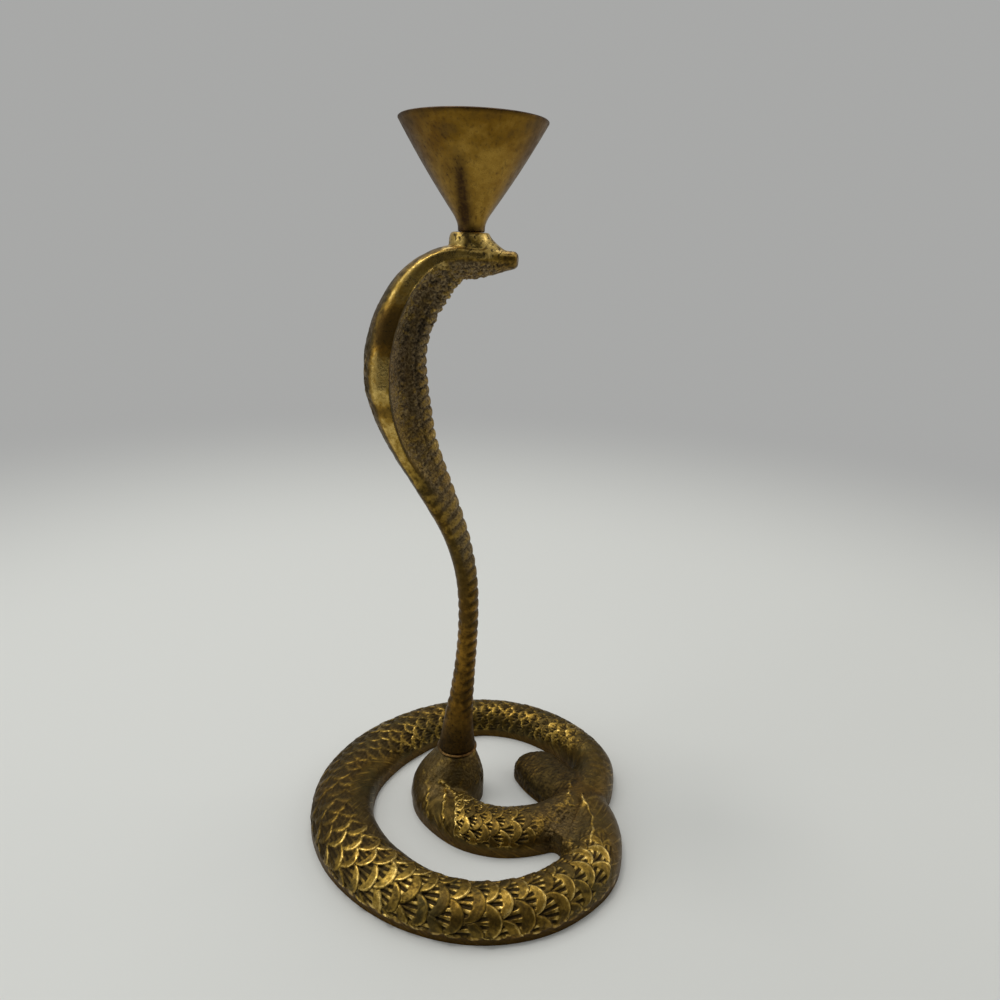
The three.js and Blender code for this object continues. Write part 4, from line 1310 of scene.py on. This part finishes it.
# %% Make the neck screw and its washer
SCREW_LOW, SCREW_HIGH = heights_of("neck_screw")
WASHER_LOW, WASHER_HIGH = heights_of("screw_washer")
SLOT_WIDTH, SLOT_DEPTH = 1.4, 1.5
SCREW_HEAD = [(0, 0), (4.2, 0), (4.8, 0.4), (5, 1), (5, 3.4), (3, 3.4)]  # radius and height


def screw():
    """The slotted head and the plain shank are spun, and the thread is added above them."""
    thread = threaded("screw_thread", NECK_X, NECK_Y, SEAT_TOP - 4, SCREW_HIGH, 2.95, 1.0)
    profile = raised(SCREW_HEAD, SCREW_LOW) + [(2.6, SEAT_TOP - 3.5), (0, SEAT_TOP - 3.5)]
    body = spin("screw_body", profile, NECK_X, NECK_Y, 64)
    deselect()
    bpy.ops.mesh.primitive_cube_add(size=MM, location=(NECK_X * MM, NECK_Y * MM, SCREW_LOW * MM),
                                    scale=(12, SLOT_WIDTH, 2 * SLOT_DEPTH))
    cut_out(body, bpy.context.object)
    pick(body, thread)
    bpy.ops.object.join()
    body.name = body.data.name = "neck_screw_cut"
    return body


neck_screw = screw()
finish_off(neck_screw, "neck_screw", "base", 30)
outline = [(3.3, WASHER_LOW), (5.8, WASHER_LOW), (6, WASHER_LOW + 0.2), (6, WASHER_HIGH - 0.1),
           (5.9, WASHER_HIGH), (3.3, WASHER_HIGH), (3.3, WASHER_LOW)]
washer = spin("washer_pressed", outline, NECK_X, NECK_Y, 64)
finish_off(washer, "screw_washer", "base", 30)

# %% [markdown]
# ## Nodes that place themselves
# A recipe for a metal is a long chain of small steps. These helpers make one node, put it to the
# right of what feeds it and plug it in, so that the editor shows the chain in its order.

# %% Make and plug in nodes
STEP = 220


def node(tree, kind, at, **values):
    """A node at a place in the editor, with its sockets and settings filled in."""
    made = tree.nodes.new(kind)
    made.location = at
    for key, value in values.items():
        if key in made.inputs:
            made.inputs[key].default_value = value
        else:
            setattr(made, key, value)
    return made


def is_socket(value):
    return isinstance(value, bpy.types.NodeSocket)


def after(kind, feeds, **values):
    """A node to the right of those that feed it, in the same tree."""
    sources = [value for value in feeds if is_socket(value)]
    at = (max(socket.node.location.x for socket in sources) + STEP, sources[0].node.location.y)
    return node(sources[0].id_data, kind, at, **values)


def plug(value, socket):
    """Fills a socket with another socket's result or with a plain value."""
    if is_socket(value):
        socket.id_data.links.new(value, socket)
    else:
        socket.default_value = value

# %% [markdown]
# ## Sums, clouds and marks
# Each of these gives back the result of one node or of a short chain, so that the recipe below
# reads like a sum. The noise is fixed to the piece, so that it moves with it, and a mark is read
# from what was written on the points.

# %% Sums, clouds and marks


def mixed(share, first, second):
    """A colour mix, where share, first and second are sockets or plain values."""
    mix = after("ShaderNodeMix", (share, first, second), data_type="RGBA")
    for value, number in ((share, 0), (first, 6), (second, 7)):
        plug(value, mix.inputs[number])
    return mix.outputs[2]


def maths(what, first, second, clamp=True):
    """One sum of two sockets or numbers, kept between 0 and 1 if clamped."""
    step = after("ShaderNodeMath", (first, second), operation=what, use_clamp=clamp)
    plug(first, step.inputs[0])
    plug(second, step.inputs[1])
    return step.outputs[0]


def plus(first, second, clamp=True):
    return maths("ADD", first, second, clamp)


def minus(first, second):
    return maths("SUBTRACT", first, second)


def times(first, second, clamp=True):
    return maths("MULTIPLY", first, second, clamp)


def between(value, low, high):
    """0 below low, 1 above high, and straight between them."""
    step = after("ShaderNodeMapRange", (value,))
    step.inputs["From Min"].default_value = low
    step.inputs["From Max"].default_value = high
    plug(value, step.inputs["Value"])
    return step.outputs["Result"]


def mark(tree, name, row):
    """What was written on the points under this name."""
    return node(tree, "ShaderNodeAttribute", (0, row), attribute_name=name).outputs["Fac"]


def noise(tree, pitch, detail, row):
    """Noise of about this pitch in millimetres, fixed to the piece."""
    where = node(tree, "ShaderNodeTexCoord", (-2 * STEP, row)).outputs["Object"]
    made = node(tree, "ShaderNodeTexNoise", (-STEP, row), Scale=1 / (pitch * MM), Detail=detail)
    plug(where, made.inputs["Vector"])
    return made.outputs["Fac"]


def cloud(tree, pitch, low, high, detail, row):
    """Cloudy spots of about this pitch in millimetres."""
    return between(noise(tree, pitch, detail, row), low, high)

# %% [markdown]
# ## Patina and file marks
# Brown patina with olive clouds covers brass that nobody rubs, and the raw face of a casting is a
# dull grey tan. On the plain flanks fine slanting scratches are left from the file. They are a
# noise that is stretched along a slant on the flow map, so they follow the body.

# %% Patina and file marks
# Near-black for dirt, also used for painted shade and shadow.
SOOT_AND_SHADE = (0.026, 0.016, 0.005, 1)
OLIVE = (0.07, 0.062, 0.026, 1)
AMBER = (0.125, 0.062, 0.010, 1)
DULL = (0.43, 0.318, 0.162, 1)
DULL_DARK = (0.14, 0.094, 0.044, 1)


def file_marks(tree):
    """Slanting scratches on the flanks: how deep they are, and how bright."""
    flow = node(tree, "ShaderNodeUVMap", (-2 * STEP, -800), uv_map="flow")
    slant = node(tree, "ShaderNodeMapping", (-STEP, -800), vector_type="TEXTURE",
                 Scale=(1 / 90, 1 / 1100, 1), Rotation=(0, 0, math.radians(38)))
    lines = node(tree, "ShaderNodeTexNoise", (0, -800), Scale=1.0, Detail=2.0)
    plug(flow.outputs["UV"], slant.inputs["Vector"])
    plug(slant.outputs["Vector"], lines.inputs["Vector"])
    flank = mark(tree, "flank", -1000)
    depth = times(times(lines.outputs["Fac"], flank, False), 2.6, False)
    return depth, times(times(between(lines.outputs["Fac"], 0.55, 0.72), flank), 0.42)


def patina(tree, small, big, fine, matt, brown):
    """The colour where the metal isn't rubbed: brown with olive clouds, or raw skin where matt."""
    darker = tuple(0.55 * part for part in brown[:3]) + (1,)
    cover = mixed(times(big, 0.5), mixed(small, brown, darker), OLIVE)
    return mixed(matt, cover, mixed(fine, DULL, DULL_DARK))

# %% [markdown]
# ## Old brass
# One recipe serves all the metal. Bare brass shows where the piece was ground or rubbed and where
# a highlight is painted, patina covers the rest, and near-black dirt sits in the roots of the
# scales; painted shade and shadow use the same near-black. Cloudy spots of several sizes break up
# each of the three, because hand-polished brass is never even. Low down the patina turns to amber.
# Dirt, painted shade and raw skin are also rougher and less of a mirror than bare metal.

# %% The recipe


def old_brass(name, bright, gold, brown, black, gloss, worn, bump, spotty=1.0, hatched=False):
    """A metal that runs from rubbed to dirty: bright, gold, brown, black. Painted highlights reach
    towards the bright end and painted shade towards black. Gloss is the roughness where it is
    brightest, worn lifts the whole piece, bump is the grain's depth in millimetres, and spotty is
    the strength of the clouds."""
    material = bpy.data.materials.new(name)
    material.use_nodes = True
    tree = material.node_tree
    big = cloud(tree, 14, 0.38, 0.62, 4.0, 700)
    small = cloud(tree, 2.4, 0.38, 0.64, 4.0, 500)
    fine = cloud(tree, 0.9, 0.42, 0.62, 3.0, 900)
    specks = cloud(tree, 0.8, 0.58, 0.7, 2.0, -300)
    matt = mark(tree, "matt", -100)
    # Polish and painted highlights both lift the metal towards bare brass.
    rubbed = plus(times(mark(tree, "polish_and_highlight", 300), 1.25), worn)
    rubbed = minus(rubbed, times(big, 0.2 * spotty))
    rubbed = minus(rubbed, times(small, 0.26 * spotty))
    rubbed = minus(rubbed, times(fine, 0.14 * spotty))
    height = plus(noise(tree, 1 / 1.1, 4.0, -600), times(times(fine, matt), 5.0, False), False)
    if hatched:
        depth, scratches = file_marks(tree)
        height = plus(height, depth, False)
        rubbed = plus(rubbed, scratches)
    # Dirt, painted shade and painted shadow all pull the colour towards black.
    dark = minus(plus(mark(tree, "dirt_and_shade", 100), times(specks, 0.45 * spotty)), times(fine, 0.15))
    warm = plus(mark(tree, "warm", 1300), times(cloud(tree, 24, 0.45, 0.62, 3.0, 1100), 0.4))
    redder = tuple(tint * part for tint, part in zip(gold, (0.92, 0.76, 0.55))) + (1,)
    cover = mixed(times(warm, 0.6), patina(tree, small, big, fine, matt, brown), AMBER)
    colour = mixed(between(rubbed, 0.05, 0.5), cover, mixed(warm, gold, redder))
    colour = mixed(between(rubbed, 0.5, 1.0), colour, bright)
    colour = mixed(dark, colour, black)
    rough = minus(gloss + 0.24, times(rubbed, 0.24))
    rough = plus(plus(plus(rough, times(small, 0.08)), times(dark, 0.18)), times(matt, 0.2))
    metal = minus(minus(1.0, times(dark, 0.14)), times(matt, 0.45))
    relief = after("ShaderNodeBump", (height,), Strength=1.0, Distance=bump * MM)
    plug(height, relief.inputs["Height"])
    shader = tree.nodes["Principled BSDF"]
    shader.location = (max(made.location.x for made in tree.nodes) + STEP, 300)
    tree.nodes["Material Output"].location = (shader.location.x + 2 * STEP, 300)
    for value, socket in ((colour, "Base Color"), (rough, "Roughness"), (metal, "Metallic"),
                          (relief.outputs["Normal"], "Normal")):
        plug(value, shader.inputs[socket])
    print(name, "has", len(tree.nodes), "nodes")
    return material

# %% [markdown]
# ## Six finishes
# The base and the figure are the same brass, but the figure is a shade lighter. The cup is redder
# and has little grain, and the ring is a paler red brass. The hidden washer is plain brass, and
# the screw and the stud share one steel, since nothing rubs or stains them.

# %% The finishes
BRIGHT = (0.76, 0.54, 0.17, 1)
scales = old_brass("patinated scales", BRIGHT, (0.28, 0.18, 0.033, 1), (0.115, 0.070, 0.015, 1), SOOT_AND_SHADE,
                   gloss=0.2, worn=0.14, bump=0.09, hatched=True)
skin_of_figure = old_brass("patinated figure", BRIGHT, (0.34, 0.215, 0.04, 1), (0.12, 0.070, 0.013, 1), SOOT_AND_SHADE,
                           gloss=0.2, worn=0.14, bump=0.09)
turned = old_brass("polished cup", (0.34, 0.20, 0.035, 1), (0.20, 0.105, 0.011, 1), (0.12, 0.055, 0.006, 1),
                   (0.042, 0.019, 0.004, 1), gloss=0.2, worn=0.3, bump=0.015, spotty=0.6)
reddish = old_brass("red brass ring", (0.40, 0.25, 0.10, 1), (0.24, 0.135, 0.045, 1),
                    (0.11, 0.055, 0.018, 1), SOOT_AND_SHADE, gloss=0.2, worn=0.35, bump=0.02)
plain = old_brass("plain washer", (0.6, 0.45, 0.18, 1), (0.4, 0.28, 0.09, 1), (0.2, 0.13, 0.04, 1), SOOT_AND_SHADE,
                  gloss=0.25, worn=0.6, bump=0.02)
steel = old_brass("plain steel", (0.50, 0.49, 0.47, 1), (0.34, 0.33, 0.31, 1), (0.16, 0.14, 0.12, 1), SOOT_AND_SHADE,
                  gloss=0.28, worn=0.6, bump=0.02)
for piece, finish, slot_name in (
        (coil, scales, "cast_brass_base"), (figure, skin_of_figure, "cast_brass_neck"),
        (cup, turned, "turned_brass"), (ring, reddish, "copper_brass"),
        (washer, plain, "washer_brass"), (neck_screw, steel, "screw_steel"),
        (stud, steel, "screw_steel")):
    piece.data.materials.clear()
    piece.data.materials.append(finish)
    print(piece.name, "is finished as", finish.name)

# %% [markdown]
# ## Table and wall
# The holder stands on a plain pale table that melts into a grey wall. One round sheet does both:
# near the holder it is a real surface that takes the shadow, and far away it turns into the same
# plain grey as the room, so that no horizon shows.

# %% The table
WALL = (0.392, 0.394, 0.388, 1)
TABLE = (0.67, 0.685, 0.665, 1)
TABLE_RADIUS = 4
REAL_TO, WALL_FROM = 0.28, 0.80  # distances between which the table melts into the wall


def table():
    deselect()
    bpy.ops.mesh.primitive_circle_add(vertices=96, radius=TABLE_RADIUS, fill_type="NGON")
    top = bpy.context.object
    top.name = "table"
    material = bpy.data.materials.new("pale table")
    material.use_nodes = True
    tree = material.node_tree
    shader = tree.nodes["Principled BSDF"]
    shader.inputs["Roughness"].default_value = 0.55
    shader.inputs["Base Color"].default_value = TABLE
    where = node(tree, "ShaderNodeTexCoord", (-900, 0))
    far = node(tree, "ShaderNodeVectorMath", (-700, 0), operation="LENGTH")
    ramp = node(tree, "ShaderNodeMapRange", (-500, 0), interpolation_type="SMOOTHSTEP")
    ramp.inputs["From Min"].default_value = REAL_TO
    ramp.inputs["From Max"].default_value = WALL_FROM
    wall = node(tree, "ShaderNodeEmission", (-300, -200), Color=WALL, Strength=1.0)
    both = node(tree, "ShaderNodeMixShader", (0, 0))
    plug(where.outputs["Object"], far.inputs[0])
    plug(far.outputs["Value"], ramp.inputs["Value"])
    plug(ramp.outputs["Result"], both.inputs[0])
    plug(shader.outputs["BSDF"], both.inputs[1])
    plug(wall.outputs["Emission"], both.inputs[2])
    plug(both.outputs["Shader"], tree.nodes["Material Output"].inputs["Surface"])
    top.data.materials.append(material)
    return top


def room():
    """The rest of the room, a plain grey all round."""
    world = bpy.data.worlds.new("room")
    bpy.context.scene.world = world
    world.use_nodes = True
    light = world.node_tree.nodes["Background"]
    light.inputs["Color"].default_value = WALL
    light.inputs["Strength"].default_value = 1.0


top = table()
room()
print("the table is real up to", REAL_TO, "m from the holder")

# %% [markdown]
# ## Light
# A large soft light and a small one hang over the holder, a large one stands to the left like a
# window and a weaker one to the right. Polished metal is a mirror, so what stands round it matters
# as much as the lamps: a dark board behind the camera gives the brass its deep tones.

# %% The lamps and the dark board


def lamp(name, at, size, power, colour):
    """A flat soft light that faces the holder."""
    data = bpy.data.lights.new(name, "AREA")
    data.shape = "RECTANGLE"
    data.size, data.size_y = size
    data.energy = power
    data.color = colour
    light = bpy.data.objects.new(name, data)
    bpy.context.collection.objects.link(light)
    light.location = at
    light.rotation_euler = Vector(np.array((0, 0, 0.1)) - np.array(at)).to_track_quat("-Z", "Y").to_euler()
    print(name, power, "W")


def dark_card(name, at, size):
    """A dark board behind the camera, for the brass to mirror. The camera itself can't see it."""
    deselect()
    bpy.ops.mesh.primitive_plane_add(size=1, location=at, rotation=(math.radians(90), 0, 0))
    card = bpy.context.object
    card.name = name
    card.scale = (size[0], size[1], 1)
    material = bpy.data.materials.new(name)
    material.use_nodes = True
    shader = material.node_tree.nodes["Principled BSDF"]
    shader.inputs["Base Color"].default_value = (0.03, 0.028, 0.025, 1)
    shader.inputs["Roughness"].default_value = 0.9
    card.data.materials.append(material)
    card.visible_camera = False
    return card


dark_card("dark board", (0.1, -0.8, 0.45), (1.3, 0.9))
lamp("overhead", (-0.15, 0.25, 0.95), (0.9, 0.7), 4.0, (1.0, 0.98, 0.95))
lamp("small bulb", (-0.3, 0.05, 1.0), (0.16, 0.16), 1.3, (1.0, 0.97, 0.93))
lamp("window", (-0.95, -0.35, 0.65), (0.5, 0.9), 2.4, (0.96, 0.98, 1.0))
lamp("far side", (0.8, 0.3, 0.5), (0.4, 0.7), 1.2, (1.0, 0.97, 0.93))

# %% [markdown]
# ## Camera
# The camera stands where the photograph was taken from: close by and about level with the head. It
# looks down and is tilted a little to one side. Its short lens makes upright lines lean.

# %% The camera
CAMERA_AT = (0.008533, -0.24908, 0.21673)
CAMERA_LENS = 27.04
LOOKS_DOWN = 18.75  # degrees
ROLL = 2.2  # degrees


def camera():
    data = bpy.data.cameras.new("camera")
    data.lens = CAMERA_LENS
    data.sensor_width = 36
    data.clip_start = 0.01
    eye = bpy.data.objects.new("camera", data)
    bpy.context.collection.objects.link(eye)
    eye.location = CAMERA_AT
    pitch = Matrix.Rotation(math.radians(90 - LOOKS_DOWN), 4, "X")
    roll = Matrix.Rotation(math.radians(ROLL), 4, "Z")
    eye.rotation_euler = (pitch @ roll).to_euler()
    return eye


bpy.context.scene.camera = camera()
bpy.context.scene.view_settings.view_transform = "Standard"
print("the camera looks down", LOOKS_DOWN, "degrees from a height of", CAMERA_AT[2], "m")
